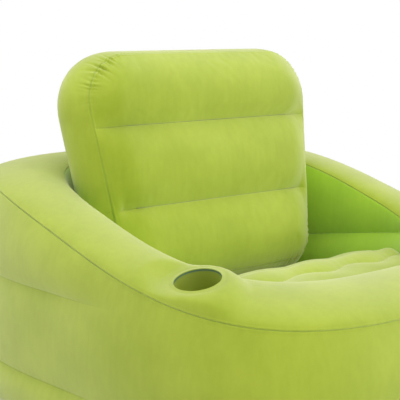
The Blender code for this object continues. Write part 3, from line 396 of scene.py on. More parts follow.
def folds(along, length, away, count, seed, width, reach, depth, weight=None):
    """Return the relief of small folds that run away from a seam of a length.

    Each is a valley between two low ridges. weight says how deep one is at its place.
    """
    rng = np.random.default_rng(seed)
    shifts, widths, reaches, depths, slants = [rng.uniform(*ends, count) for ends in FOLD_SPREADS]
    places = (np.arange(count) + shifts) * length / count
    depths = depth * depths * (weight(places) if weight else 1.0)
    relief = np.zeros(np.broadcast(along, away).shape)
    for place, wide, far, deep, slant in zip(places, width * widths, reach * reaches, depths, slants):
        if deep >= FOLD_LEAST:
            ratio = (around(along - place - slant * away, length) / wide) ** 2
            relief += deep * (ratio - 1.0) * np.exp(-ratio) * bell(away, far)
    return relief


def bead(away):
    """Return the height of the low bead beside a seam."""
    return BEAD_HEIGHT * bell(away - BEAD_AWAY, BEAD_WIDTH)


def tuck(away):
    """Return the depth of a seam's tuck."""
    return TUCK_DEPTH * bell(away, TUCK_WIDTH)


# Meshes

def linked(name, data):
    """Return a new object of the scene that holds the data."""
    item = bpy.data.objects.new(name, data)
    bpy.context.scene.collection.objects.link(item)
    return item


def linked_mesh(name, points, faces):
    """Return a new object with the mesh of these points and faces."""
    mesh = bpy.data.meshes.new(name)
    mesh.from_pydata(points.reshape(-1, 3).tolist(), [], faces.tolist())
    mesh.validate()
    return linked(name, mesh)


def set_all(item, settings):
    """Give an item its settings by name."""
    for name, value in settings.items():
        setattr(item, name, value)


def add_mesh(name, points, faces, finish, body, slot):
    """Make a smooth piece that rides on a body, with its finish; the slot is not used."""
    piece = linked_mesh(name, points, faces)
    piece.data.shade_smooth()
    piece.data.materials.append(finish)
    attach(piece, body)
    return piece


def add_values(piece, values, name="weld"):
    """Store a value on each point, such as how close it lies to a weld."""
    attribute = piece.data.attributes.new(name, "FLOAT", "POINT")
    attribute.data.foreach_set("value", np.asarray(values, dtype=np.float32).ravel())


def add_skin(name, grid, finish, welds, replaced, wraps=True, turn_over=False):
    """Make a skin of the tub from a grid, with its weld values and its thickness."""
    quads = grid_quads(*grid.shape[:2], wraps)[:, ::-1 if turn_over else 1]
    piece = add_mesh(name, grid, quads, finish, "tub", "flocked_sheet")
    add_values(piece, np.clip(welds, 0.0, 1.0))
    set_all(piece.modifiers.new("sheet", "SOLIDIFY"), SHEET_BEHIND)
    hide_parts(replaced)
    return piece


def cleaned(piece, distance=1e-6):
    """Merge a piece's doubled points and turn its faces outwards."""
    bm = bmesh.new()
    bm.from_mesh(piece.data)
    bmesh.ops.remove_doubles(bm, verts=bm.verts, dist=distance)
    bmesh.ops.recalc_face_normals(bm, faces=bm.faces)
    bm.to_mesh(piece.data)
    bm.free()
    return piece


def cut_round_hole(piece, matrix, radius, reach):
    """Cut a round hole in a piece, along the Z axis of a matrix."""
    profile = np.array([(0.0, -reach), (radius, -reach), (radius, reach), (0.0, reach)])
    cutter = cleaned(linked_mesh("cutter", *turned(profile, matrix, closed=False, sides=CUP_SIDES)))
    boolean = piece.modifiers.new("hole", "BOOLEAN")
    set_all(boolean, {"operation": "DIFFERENCE", "object": cutter})
    graph = bpy.context.evaluated_depsgraph_get()
    graph.update()
    made = bpy.data.meshes.new_from_object(piece.evaluated_get(graph), depsgraph=graph)
    piece.modifiers.clear()
    piece.data = made
    bpy.data.objects.remove(cutter, do_unlink=True)


def joined(parts):
    """Return the points and faces of several bodies as one mesh."""
    points, faces, start = [], [], 0
    for part_points, part_faces in parts:
        points.append(part_points.reshape(-1, 3))
        faces.append(part_faces + start)
        start += len(points[-1])
    return np.concatenate(points), np.concatenate(faces)


def make_small(name, parts, finish, body, slot, replaced):
    """Make a small piece from closed bodies, in place of a node."""
    piece = cleaned(add_mesh(name, *joined(parts), finish, body, slot))
    piece.data.set_sharp_from_angle(angle=SHARP_ANGLE)
    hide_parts(replaced)
    return piece


# Shader sums

class Shade:
    """A shader socket that can be used in sums, where each operator adds its Math node."""

    def __init__(self, tree, socket=None):
        self.tree, self.socket = tree, socket

    def node(self, kind, inputs=None, settings=None, output=0):
        """Add a node: its settings first, then its inputs' values or links."""
        node = self.tree.nodes.new("ShaderNode" + kind)
        set_all(node, settings or {})
        for name, item in (inputs or {}).items():
            self.feed(node, name, item)
        return Shade(self.tree, node.outputs[output] if len(node.outputs) else None)

    def feed(self, node, name, item):
        """Set one input of a node, or link it to a socket."""
        if isinstance(item, Shade):
            self.tree.links.new(item.socket, node.inputs[name])
        else:
            node.inputs[name].default_value = item

    def math(self, operation, first, second):
        """Return the result of a Math node."""
        return self.node("Math", {0: first, 1: second}, {"operation": operation})

    def __add__(self, other):
        return self.math("ADD", self, other)

    __radd__ = __add__

    def __sub__(self, other):
        return self.math("SUBTRACT", self, other)

    def __rsub__(self, other):
        return self.math("SUBTRACT", other, self)

    def __mul__(self, other):
        return self.math("MULTIPLY", self, other)

    def clamped(self):
        """Return the value held between 0 and 1."""
        return self.node("Clamp", {"Value": self})

    def tinted(self, low, high):
        """Return the colour at this share of the way from low to high."""
        return self.node("Mix", {0: self.clamped(), 6: low, 7: high}, {"data_type": "RGBA"}, 2)

    def noise(self, scale, detail=2.0, roughness=0.5):
        """Return a noise pattern over these coordinates."""
        inputs = {"Vector": self, "Scale": scale, "Detail": detail, "Roughness": roughness}
        return self.node("TexNoise", inputs)

    def stretched(self, scale):
        """Return these coordinates stretched along the axes."""
        return self.node("Mapping", {"Vector": self, "Scale": scale})

    def values(self, name):
        """Return the values that a piece's points hold under a name."""
        return self.node("Attribute", {}, {"attribute_name": name}, 2)

    def bump(self, strength, distance):
        """Return the normal of this relief."""
        return self.node("Bump", {"Strength": strength, "Distance": distance, "Height": self})


def new_finish(name, make, *colours):
    """Return a material whose main shader takes the inputs that make works out."""
    finish = bpy.data.materials.new(name)
    finish.use_nodes = True
    tree = finish.node_tree
    place = Shade(tree).node("TexCoord", output=3)
    for socket, item in make(place, *colours).items():
        place.feed(tree.nodes["Principled BSDF"], socket, item)
    return finish


# Finishes

def flock(place, brushed_down, brushed_up):
    """Velvety flock: soft patches, strokes of nap, fine pile, pressed dark on the welds."""
    weld = place.values("weld")
    patches = place.noise(7.0, 5.0, 0.58)
    strokes = place.stretched((80.0, 80.0, 20.0)).noise(1.0, 3.0)
    pile, fluff = place.noise(1400.0, 2.0, 0.6), place.noise(420.0, 3.0, 0.6)
    lightness = (patches - 0.5) * 2.4 + (strokes - 0.5) * 0.7 + (pile - 0.5) * 0.5 + 0.5
    nap = lightness.tinted(brushed_down, brushed_up)
    relief = (pile * 0.5 + fluff * 0.7 + patches * 1.2) * (1.0 - weld * 0.8)
    return {"Base Color": (weld * 0.5).tinted(nap, PRESSED_NAP), "Roughness": (0.92 - weld * 0.25).clamped(),
            "Normal": relief.bump(0.30, 0.0004), "Specular IOR Level": 0.5, "Sheen Weight": 0.82,
            "Sheen Roughness": 0.55, "Sheen Tint": SHEEN_TINT}


def bare_film(place, light, dark, roughness):
    """Bare film: a fine emboss, faint clouding and scuffs, and the cup's darker lip."""
    clouds, grain = place.noise(14.0, 3.0), place.noise(900.0, 2.0, 0.55)
    scuffs = place.stretched((40.0, 220.0, 220.0)).noise(1.0, 4.0)
    film = (clouds * 0.8 + grain * 0.3).tinted(dark, light)
    return {"Base Color": place.values("lip").tinted(film, CUP_LIP),
            "Roughness": (roughness + (scuffs - 0.5) * 0.25).clamped(),
            "Normal": (grain * 0.7 + clouds * 0.3).bump(0.35, 0.0003), "Specular IOR Level": 0.45}


def soft_plastic(place, dark, light):
    """Soft moulded plastic, a little milky, with fine moulding marks."""
    clouds, marks = place.noise(160.0, 3.0), place.noise(2600.0, 2.0)
    return {"Base Color": (clouds * 0.9 + marks * 0.2).tinted(dark, light),
            "Roughness": (0.34 + marks * 0.16).clamped(), "Normal": marks.bump(0.2, 0.0001),
            "Subsurface Weight": 0.12, "Subsurface Scale": 0.002}


# Plan and heights of the tub

def superellipse(half_x, half_y, power, angles, centre_y=0.0):
    """Return a rounded square, |x/a|^n + |y/b|^n = 1, by plan angle."""
    cos, sin = np.cos(angles), np.sin(angles)
    radius = (np.abs(cos / half_x) ** power + np.abs(sin / half_y) ** power) ** (-1.0 / power)
    return np.stack([radius * cos, radius * sin + centre_y], axis=-1)


def outer_plan(angles, inset):
    """Return the outer plan line, drawn in by inset."""
    return superellipse(TUB_WIDTH / 2 - inset, TUB_DEPTH / 2 - inset, PLAN_POWER, angles)


def well_halves(inset):
    """Return the sitting well's half width and half depth, drawn in by inset."""
    return TUB_WIDTH / 2 - ARM_WIDTH - inset, (WELL_BACK_Y - WELL_FRONT_Y) / 2 - inset


def well_plan(angles, inset):
    """Return the plan line of the sitting well, drawn in by inset."""
    return superellipse(*well_halves(inset), WELL_POWER, angles, (WELL_FRONT_Y + WELL_BACK_Y) / 2)


def rise(y):
    """Return the share of the rim's rise at a depth y."""
    return smooth((y - RISE_START_Y) / (RISE_END_Y - RISE_START_Y))


def rim_height(y):
    """Return the height of the rim's outer seam at a depth y."""
    return mix(*RIM_HEIGHTS, rise(y))


def inner_rim_height(y):
    """Return the height of the rim's inner seam at a depth y."""
    return rim_height(y) + mix(*INNER_LIFTS, rise(y))


def seat_edge_height(y):
    """Return the height of the seat's weld to the inner wall."""
    share = smooth((SEAT_EDGE_TURN_BACK_Y - y) / (SEAT_EDGE_TURN_BACK_Y - SEAT_EDGE_TURN_FRONT_Y))
    return mix(SEAT_EDGE_BACK_HEIGHT, SEAT_EDGE_FRONT_HEIGHT, share)


def ring_angles():
    """Return the plan angles of the tub's columns."""
    return np.linspace(0.0, 2.0 * np.pi, RING_COLUMNS, endpoint=False)


def pressed_in(grid, relief, depth, outwards=1.0):
    """Return a ring skin moved out by its relief, and wellwards by its tucks' depth."""
    grid = grid + (outwards * relief)[..., None] * grid_normals(grid)
    angles = ring_angles()
    inwards = raised(unit(well_plan(angles, 0.0) - outer_plan(angles, RIM_SEAM_INSET)), 0.0)
    return grid + (outwards * depth)[..., None] * inwards


# Rim

def rim_surface(angles, across):
    """Return the rim: half an ellipse across, from its outer to its inner seam."""
    outer, inner = outer_plan(angles, RIM_SEAM_INSET), well_plan(angles, 0.0)
    outer = raised(outer, rim_height(outer[..., 1]))
    inner = raised(inner, inner_rim_height(inner[..., 1]))
    points = (outer + inner) / 2 + (outer - inner) / 2 * np.cos(across)[..., None]
    points[..., 2] += mix(*RIM_CROWNS, rise(outer[..., 1])) * np.sin(across)
    return points


def cup_axes():
    """Return the cup's centre on the rim and its axes: round the rim, across it and out."""
    turns = CUP_PLAN_ANGLE + np.array([0.0, CUP_TANGENT_ANGLE, -CUP_TANGENT_ANGLE])
    middle, ahead, behind = rim_surface(turns, np.full(3, CUP_ACROSS_ANGLE))
    out = unit([-math.tan(CUP_LEAN_OUT), -math.tan(CUP_LEAN_AHEAD), 1.0])
    run = ahead - behind
    along = unit(run - (run @ out) * out)
    return middle, along, np.cross(out, along), out


def flattened(points, across, axes):
    """Bring the rim beside the cup onto its plane, with a soft swell round its ring."""
    centre, along, side, out = axes
    away = points - centre
    radius = np.hypot(away @ along, away @ side)
    wellwards = smooth(0.5 + away @ side / (2.0 * CUP_BLEND_RADIUS))
    blend = mix(CUP_BLEND_RADIUS, CUP_WELL_BLEND_RADIUS, wellwards)
    hold = 1.0 - smooth((radius - CUP_FLAT_RADIUS) / (blend - CUP_FLAT_RADIUS))
    hold = hold * smooth(np.minimum(across, np.pi - across) / CUP_SEAM_BLEND_ANGLE)
    swell = CUP_SWELL * bell(radius - CUP_SWELL_RADIUS, CUP_SWELL_WIDTH) * hold
    return points + (swell - away @ out * hold)[..., None] * out


def make_rim(finish, axes):
    """Make the top skin of the arms, back and front rim, with folds."""
    angles, across = np.meshgrid(ring_angles(), np.pi * clustered(*RIM_ROWS))
    grid = flattened(rim_surface(angles, across), across, axes)
    to_outer, to_inner = row_distances(grid)
    away = np.minimum(to_outer, to_inner)
    relief = undulation(grid, away, *RIM_RELIEF)
    relief += folds(*column_lengths(grid[0]), to_outer, *OUTER_SEAM_FOLDS)
    relief += folds(*column_lengths(grid[-1]), to_inner, *INNER_SEAM_FOLDS)
    grid = pressed_in(grid, relief + bead(away), tuck(to_outer) - tuck(to_inner))
    piece = add_skin("rim_skin", grid, finish, bell(away, PRESSED_WIDTH), "rim_panel")
    cut_round_hole(piece, placing(*axes), CUP_RADIUS + CUP_WALL + GAP, 0.02)


# Walls and base

def outer_wall_surface(angles):
    """Return the outer wall's rows from the base seam up, and how close each is to a weld.

    Three lobes swell between its seams and weld lines. Towards the front they become one.
    """
    seam_y = outer_plan(angles, RIM_SEAM_INSET)[:, 1]
    top = rim_height(seam_y)
    held = smooth((seam_y - WELD_GONE_Y) / (WELD_FULL_Y - WELD_GONE_Y))
    upper = np.minimum(UPPER_WELD_HEIGHT, mix(LOWER_WELD_HEIGHT, top, FRONT_LEVEL_SHARE))
    levels = (FLOOR_CLEARANCE, LOWER_WELD_HEIGHT, upper, top)
    insets = (BASE_SEAM_INSET, WELD_INSET, WELD_INSET, RIM_SEAM_INSET)
    strengths = (1.0, CREASE_PRESSED * held, CREASE_PRESSED * held, 1.0)
    one_bulge = (BASE_SEAM_INSET + RIM_SEAM_INSET) / 2
    rows, presses = [], []
    for number, bulge in enumerate(LOBE_BULGES):
        share = clustered(LOBE_ROWS)[:None if number == len(LOBE_BULGES) - 1 else -1, None]
        height = mix(levels[number], levels[number + 1], share) + 0.0 * top
        lobed = mix(insets[number], insets[number + 1], share) - bulge * lobe(share, WALL_LOBE_POWER)
        whole = (height - FLOOR_CLEARANCE) / (top - FLOOR_CLEARANCE)
        single = mix(BASE_SEAM_INSET, RIM_SEAM_INSET, whole) - one_bulge * np.sin(np.pi * whole)
        rows.append(raised(outer_plan(angles, mix(single, lobed, held)), height))
        presses.append(np.maximum(*(strengths[n] * bell(height - levels[n], PRESSED_WIDTH)
                                    for n in (number, number + 1))))
    return np.concatenate(rows), np.concatenate(presses), held


def make_outer_wall(finish):
    """Make the outer wall's skin, with folds at its seams and weld lines."""
    grid, presses, held = outer_wall_surface(ring_angles())
    to_base, to_rim = row_distances(grid)
    ring = column_lengths(grid[-1])
    relief = undulation(grid, np.minimum(to_base, to_rim), *OUTER_WALL_RELIEF)
    relief += folds(*ring, to_rim, *OUTER_SEAM_FOLDS) + folds(*ring, to_base, *BASE_SEAM_FOLDS)
    for number, settings in enumerate(OUTER_WELD_FOLDS, 1):
        away = np.abs(to_base - to_base[number * (LOBE_ROWS - 1)])
        relief += held * folds(*ring, away, *settings)
    grid = pressed_in(grid, relief + bead(to_rim), tuck(to_rim))
    grid[..., 2] = np.maximum(grid[..., 2], FLOOR_CLEARANCE / 2)
    piece = add_skin("outer_wall_skin", grid, finish, presses, "outer_wall")
    cut_round_hole(piece, tub_valve_place(), VALVE_BORE_RADIUS + VALVE_WALL + GAP, 0.010)


def inner_wall_surface(angles):
    """Return the inner wall from the rim's seam down: two lobes that meet at its weld line.

    With it come the distances from the rim's seam, the seat's edge and the weld line.
    """
    plan_y = well_plan(angles, 0.0)[:, 1]
    top = inner_rim_height(plan_y)
    weld = INNER_WELD_HEIGHT - INNER_WELD_SLOPE_SHARE * plan_y
    weld = np.minimum(weld, top - INNER_BAND_LEAST)
    low = seat_edge_height(well_plan(angles, SEAT_EDGE_INSET)[:, 1])
    share = clustered(INNER_ROWS)[:, None]
    swell = lobe(share, INNER_LOBE_POWER)
    upper_inset = INNER_WELD_INSET * share + INNER_UPPER_BULGE_SHARE * (top - weld) * swell
    lower_bulge = INNER_LOWER_BULGE_SHARE * (weld - low) * swell
    lower_inset = mix(INNER_WELD_INSET, SEAT_EDGE_INSET, share) + lower_bulge
    upper = raised(well_plan(angles, upper_inset), mix(top, weld, share))
    lower = raised(well_plan(angles, lower_inset), mix(weld, low, share))
    grid = np.concatenate([upper[:-1], lower])
    to_top, to_low = row_distances(grid)
    return grid, to_top, to_low, np.abs(to_top - to_top[INNER_ROWS - 1])


def make_inner_wall(finish):
    """Make the sitting well's skin, folded at its seams and its weld line."""
    grid, to_top, to_low, to_weld = inner_wall_surface(ring_angles())
    ring, to_seam = column_lengths(grid[0]), np.minimum(to_top, to_low)
    relief = undulation(grid, to_seam, *INNER_WALL_RELIEF)
    relief += folds(*ring, to_top, *INNER_SEAM_FOLDS)
    relief += folds(*ring, to_weld, *INNER_WELD_FOLDS) + folds(*ring, to_low, *SEAT_EDGE_FOLDS)
    grid = pressed_in(grid, relief, tuck(to_top), -1.0)
    presses = bell(np.minimum(to_seam, to_weld), PRESSED_WIDTH)
    add_skin("inner_wall_skin", grid, finish, presses, "inner_wall", turn_over=True)


def make_base(finish):
    """Make the base sheet: level rings out to the base seam, and back above them."""
    shares = np.linspace(1.0, 0.0, BASE_RINGS)[:, None, None]
    plan = shares * outer_plan(ring_angles(), BASE_SEAM_INSET)
    grid = np.concatenate([raised(plan[::-1], 0.0), raised(plan, SHEET)])
    quads = grid_quads(*grid.shape[:2], True)
    piece = cleaned(add_mesh("base_sheet", grid, quads, finish, "tub", "plain_sheet"))
    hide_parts("base_panel")


# Seat

def channel_line(number, x):
    """Return a seat channel's depth y at x: a wave, in turn up and down."""
    swing = WAVE_SWING * np.cos(2.0 * np.pi * (x - WAVE_SHIFT) / WAVE_LENGTH)
    return CHANNEL_YS[number] - swing * (-1.0) ** number


def shelf_height():
    """Return the height of the seat's rear shelf, which the backrest's foot rests on."""
    drop = GUSSET_BULGE * math.cos(BACK_LEAN) + BACK_THICKNESS / 2 * math.sin(BACK_LEAN)
    return BACK_FOOT_HEIGHT - drop - GAP


def seat_body(y):
    """Return the height of the weld lines: up to the crest, down a slope, then a shelf."""
    up = smooth((y - SEAT_FRONT_Y) / (SEAT_CREST_Y - SEAT_FRONT_Y))
    height = mix(SEAT_FRONT_HEIGHT, SEAT_CREST_HEIGHT, up)
    share = np.clip((y - SEAT_CREST_Y) / (SEAT_SLOPE_END_Y - SEAT_CREST_Y), 0.0, 1.0)
    height = height - (SEAT_CREST_HEIGHT - SEAT_SLOPE_END_HEIGHT) * share ** SEAT_SLOPE_POWER
    share = np.clip((y - SEAT_SLOPE_END_Y) / (SHELF_Y - SEAT_SLOPE_END_Y), 0.0, 1.0)
    return height - (SEAT_SLOPE_END_HEIGHT - shelf_height()) * share


def seat_ribs(x, y):
    """Return the seat's swell between its channels, and the distance to the nearest."""
    lines = [channel_line(0, x) - CHANNEL_PITCH] + [channel_line(n, x) for n in range(len(CHANNEL_YS))]
    lines.append(np.full_like(x, SEAT_SLOPE_END_Y))
    swell = np.zeros_like(x)
    for low, high in zip(lines[:-1], lines[1:]):
        share = np.clip((y - low) / (high - low), 0.0, 1.0)
        swell += CHANNEL_DEPTH * (high - low) / CHANNEL_PITCH * lobe(share, CHANNEL_POWER)
    return swell, np.abs(y - np.stack(lines[1:])).min(axis=0)


def seat_plan():
    """Return a square grid bent onto the seat's plan, and how far in each point is."""
    u, v = np.meshgrid(*[np.linspace(-1.0, 1.0, SEAT_STEPS)] * 2)
    largest = np.maximum(np.abs(u), np.abs(v))
    power_sum = (np.abs(u) ** WELL_POWER + np.abs(v) ** WELL_POWER) ** (1.0 / WELL_POWER)
    scale = largest / np.maximum(power_sum, 1e-9)
    half_x, half_y = well_halves(SEAT_EDGE_INSET)
    x, y = u * scale * half_x, v * scale * half_y + (WELL_FRONT_Y + WELL_BACK_Y) / 2
    return x, y, (1.0 - largest) * half_x


def make_seat(finish):
    """Make the ribbed seat, rounded down to its edge at the wall."""
    x, y, inward = seat_plan()
    swell, to_channel = seat_ribs(x, y)
    hold = 1.0 - (1.0 - np.clip(inward / SEAT_EDGE_ROUND, 0.0, 1.0)) ** 2
    height = mix(seat_edge_height(y), seat_body(y) + swell, hold)
    grid = np.stack([x, y, height], axis=-1)
    relief = undulation(grid, inward, *SEAT_RELIEF)
    relief += folds(x + TUB_WIDTH / 2, TUB_WIDTH, to_channel, *CHANNEL_FOLDS)
    grid[..., 2] += relief * smooth(inward / SEAT_RELIEF_FADE)
    press = np.maximum(bell(inward, PRESSED_WIDTH), CREASE_PRESSED * bell(to_channel, PRESSED_WIDTH))
    add_skin("seat_cushion", grid, finish, press * (y < SHELF_Y), "seat_panel", wraps=False)


# Turned and flat small bodies

def softened(profile, closed=True):
    """Round a profile's corners: each becomes a curve between two points near it."""
    corners, rounded = np.array(profile), []
    t = np.linspace(0.0, 1.0, 4)[:, None]
    for before, corner, after in zip(np.roll(corners, 1, axis=0), corners, np.roll(corners, -1, axis=0)):
        back, ahead = before - corner, after - corner
        reach = min(VALVE_ROUND, np.linalg.norm(back) * 0.45, np.linalg.norm(ahead) * 0.45)
        start, end = corner + unit(back) * reach, corner + unit(ahead) * reach
        rounded.append((1 - t) ** 2 * start + 2 * t * (1 - t) * corner + t ** 2 * end)
    if not closed:
        rounded[0], rounded[-1] = corners[:1], corners[-1:]
    return np.concatenate(rounded)


def turned(profile, matrix, closed=True, sides=VALVE_SIDES):
    """Return a profile of radius and height turned round Z. An open one ends on the axis."""
    ring = raised(profile[:, :1, None] * circle(1.0, sides), profile[:, 1:])
    if closed:
        ring = np.concatenate([ring, ring[:1]])
    return placed(ring, matrix), grid_quads(len(ring), sides, True)


def plate(outline, low, high, matrix):
    """Return a flat body with soft edges over a convex outline."""
    middle = outline.mean(axis=0)
    soft = min(VALVE_ROUND, (high - low) / 3)
    drawn, point = outline - unit(outline - middle) * soft, middle + 0.0 * outline
    levels = ((point, low), (drawn, low), (outline, low + soft), (outline, high - soft),
              (drawn, high), (point, high))
    rows = np.stack([raised(line, height) for line, height in levels])
    return placed(rows, matrix), grid_quads(len(rows), len(outline), True)


def strap(start, end, half_width, low, high, matrix):
    """Return a flat strap that is round at both ends."""
    start, end = np.array(start), np.array(end)
    ahead = unit(end - start)
    side = np.array([-ahead[1], ahead[0]])
    turn = np.linspace(-np.pi / 2, np.pi / 2, 14)[:, None]
    bow = half_width * (np.cos(turn) * ahead + np.sin(turn) * side)
    return plate(np.concatenate([end + bow, start - bow]), low, high, matrix)


# Cup holder

def make_cup(axes, flocked, film):
    """Make the cup holder: a weld ring that thins outwards, a bowed side and a floor."""
    place = placing(*axes)
    share = np.linspace(0.0, 1.0, 20)
    thick = (1.0 - share) ** CUP_RING_FALL_POWER * np.minimum(1.0, share * 14.0 + 0.25) ** 0.5
    top = GAP + CUP_RING_THICK * thick + CUP_RING_EDGE
    top = np.stack([CUP_RADIUS + CUP_RING_WIDTH * share, top], axis=-1)
    low = np.stack([top[::-1, 0], 0.0 * share + GAP / 2], axis=-1)
    ring = turned(np.concatenate([low, top]), place, sides=CUP_SIDES)
    make_small("cup_weld_ring", [ring], flocked, "tub", "flocked_sheet", "cup_ring")
    share = np.linspace(0.0, 1.0, 40) ** 1.6
    radius = mix(CUP_RADIUS, CUP_FLOOR_RADIUS, share) - CUP_BOW * np.sin(np.pi * share)
    inner = np.stack([radius, -CUP_DEPTH * share], axis=-1)
    side = turned(np.concatenate([inner, inner[::-1] + (CUP_WALL, 0.0)]), place, sides=CUP_SIDES)
    piece = make_small("cup_well_side", [side], film, "tub", "plain_sheet", "cup_side")
    below = -(point_values(piece.data.vertices, "co", 3) - axes[0]) @ axes[3]
    add_values(piece, smooth(1.5 - below / CUP_LIP_DEPTH), "lip")
    share = np.linspace(0.0, 1.0, 12)
    dome = -CUP_DEPTH - GAP - CUP_FLOOR_DOME * (share ** 2 - share ** 6)
    top = np.stack([(CUP_FLOOR_RADIUS + CUP_WALL) * share, dome], axis=-1)
    profile = np.concatenate([top, top[::-1] - (0.0, CUP_WALL)])[::-1]
    floor = turned(profile, place, closed=False, sides=CUP_SIDES)
    make_small("cup_well_floor", [floor], film, "tub", "plain_sheet", "cup_floor")


# Backrest

def back_place():
    """Return the matrix from the backrest's plane to the chair."""
    sin, cos = math.sin(BACK_LEAN), math.cos(BACK_LEAN)
    return placing((0.0, BACK_FOOT_Y, BACK_FOOT_HEIGHT), (-1.0, 0.0, 0.0), (0.0, sin, cos), (0.0, cos, -sin))


def back_side():
    """Return the arcs at the foot and the top of the backrest's right edge, going up."""
    foot, top = np.array([BACK_LOWER_WIDTH / 2, 0.0]), np.array([BACK_UPPER_WIDTH / 2, BACK_HEIGHT])
    level, arcs = np.array([-1.0, 0.0]), []
    for corner, other, radius, count, order in ((foot, top, BACK_FOOT_ROUND, BACK_ARC_ROWS[0], 1),
                                                (top, foot, BACK_TOP_ROUND, BACK_ARC_ROWS[1], -1)):
        side = unit(other - corner)
        half = math.acos(float(level @ side)) / 2
        centre = corner + unit(level + side) * radius / math.sin(half)
        ends = [corner + way * (radius / math.tan(half)) - centre for way in (level, side)[::order]]
        turn = np.linspace(*(math.atan2(end[1], end[0]) for end in ends), count)
        arcs.append(centre + np.linalg.norm(ends[0]) * np.stack([np.cos(turn), np.sin(turn)], axis=-1))
    return arcs


def back_grid(arcs):
    """Return the face's points across and up, its rows' half widths and its edge's indices.

    The rows are level, fine in the corners and at the welds.
    """
    bounds = (arcs[0][-1, 1],) + BACK_WELDS_UP + (arcs[1][0, 1],)
    rows = [mix(low, high, clustered(*BACK_LOBE_ROWS))[:-1] for low, high in zip(bounds[:-1], bounds[1:])]
    rows = np.concatenate([arcs[0][:-1, 1], *rows, arcs[1][:, 1]])
    path = np.concatenate(arcs)
    half = np.interp(rows, path[:, 1], path[:, 0])[:, None]
    shares = 2.0 * clustered(*BACK_COLUMNS) - 1.0
    x, up = half * shares, rows[:, None] + 0.0 * shares
    index = np.arange(x.size).reshape(x.shape)
    loop = np.concatenate([index[0, :-1], index[:-1, -1], index[-1, :0:-1], index[:0:-1, 0]])
    return x, up, half, loop


def corner_distance(x, up, arcs):
    """Return the distance to the backrest's rounded edge, for points inside it."""
    low, high = BACK_LOWER_WIDTH / 2, BACK_UPPER_WIDTH / 2
    slant = unit([high - low, BACK_HEIGHT])
    side = (low - np.abs(x)) * slant[1] + up * slant[0]
    nearest = np.minimum(np.minimum(up, BACK_HEIGHT - up), side)
    for arc, radius, sign in ((arcs[0], BACK_FOOT_ROUND, 1.0), (arcs[1][::-1], BACK_TOP_ROUND, -1.0)):
        centre = arc[0] + (0.0, sign * radius)
        away = np.stack([np.abs(x), up], axis=-1) - centre
        along_side = (arc[-1] - centre) / radius
        ahead = sign * np.array([along_side[1], -along_side[0]])
        corner = (away[..., 0] > 0.0) & (away @ ahead > 0.0)
        nearest = np.where(corner, radius - np.linalg.norm(away, axis=-1), nearest)
    return np.clip(nearest, 0.0, None)


def back_relief(x, up, half, to_seam):
    """Return how far a backrest face swells between its welds and its seam."""
    bounds = (0.0,) + BACK_WELDS_UP + (BACK_HEIGHT,)
    swell = np.ones_like(x)
    for number, weld in enumerate(BACK_WELDS_UP):
        reach = np.where(up < weld, weld - bounds[number], bounds[number + 2] - weld) / 2
        share = np.clip(np.abs(up - weld) / reach, 0.0, 1.0)
        held = smooth((half - np.abs(x) - BACK_WELD_STOPS[number]) / BACK_WELD_FADES[number])
        swell = np.minimum(swell, mix(1.0, lobe(share / 2, BACK_LOBE_POWER), held))
    share = np.clip(to_seam / BACK_EDGE_ROUND, 0.0, 1.0)
    least = BACK_WELD_RISE * smooth(to_seam / BACK_WELD_RUN)
    return mix(least, BACK_CROWN, swell) * np.sin(np.pi / 2 * share) ** BACK_EDGE_POWER


def pucker_weight(edge, along, length):
    """Return a function that says how deep the puckers are along the seam."""
    def weight(places):
        total = PUCKER_LEAST + 0.0 * places
        for across, up, strength, spread in PUCKER_CORNERS:
            centre = along[np.argmin(np.abs(edge - (across, up)).sum(axis=1))]
            total += strength * bell(around(places - centre, length), spread)
        return np.minimum(total, 1.0)
    return weight


def lifted(grid, relief, away, outwards, side, straight):
    """Return backrest points lifted by a relief: aslant at the seam, straight elsewhere."""
    slanting = unit(raised(np.broadcast_to(outwards, grid[..., :2].shape), side))
    direction = unit(mix(slanting, straight, smooth(away / SEAM_SLANT_REACH)[..., None]))
    return grid + relief[..., None] * direction


def seam_lift(along, length, away, weight):
    """Return the relief near the backrest's seam: bead, tuck and puckers at the corners."""
    return bead(away) - tuck(away) + folds(along, length, away, *BACK_PUCKERS, weight)


def back_faces(x, up, half, to_seam, edge, outwards, seam):
    """Return the front and the rear face."""
    swell = back_relief(x, up, half, to_seam)
    turn = smooth(1.0 - (half - np.abs(x)) / BACK_BEND_REACH)
    bent = up - BACK_BEND_DROP * turn * bell(up - BACK_WELDS_UP[0], BACK_BEND_HEIGHT)
    index = np.stack([np.argmin(((row[:, None] - edge) ** 2).sum(axis=-1), axis=1)
                      for row in np.stack([x, up], axis=-1)])
    along, length, weight = seam
    lift = seam_lift(along[index], length, to_seam, weight)
    for side, level, settings in zip((-1.0, 1.0), (0.0, BACK_THICKNESS), BACK_RELIEFS):
        grid = np.stack([x, bent, level + side * swell], axis=-1)
        relief = lift + undulation(grid, to_seam, *settings)
        yield lifted(grid, relief, to_seam, outwards[index], side, np.array([0.0, 0.0, side]))


def back_band(edge, outwards, seam):
    """Return the band between the faces, and its distances from the seams."""
    bulge = mix(GUSSET_BULGE, GUSSET_TOP_BULGE, np.clip(outwards[:, 1], 0.0, 1.0) ** 2)
    share = clustered(*GUSSET_ROWS)[:, None]
    away = np.minimum(share, 1.0 - share) * BACK_THICKNESS * GUSSET_GIRTH_SHARE
    band = raised(edge + outwards * (bulge * np.sin(np.pi * share))[..., None], BACK_THICKNESS * share)
    along, length, weight = seam
    lift = seam_lift(along, length, away, weight)
    side = np.sign(share - 0.5 + 1e-9)
    band = lifted(band, lift, away, outwards, side, raised(outwards, 0.0))
    return band, np.broadcast_to(away, band.shape[:2])


def point_values(data, name, width):
    """Return the values of a mesh's points or attribute as rows."""
    values = np.empty(len(data) * width, dtype=np.float32)
    data.foreach_get(name, values)
    return values.reshape(-1, width).astype(float)


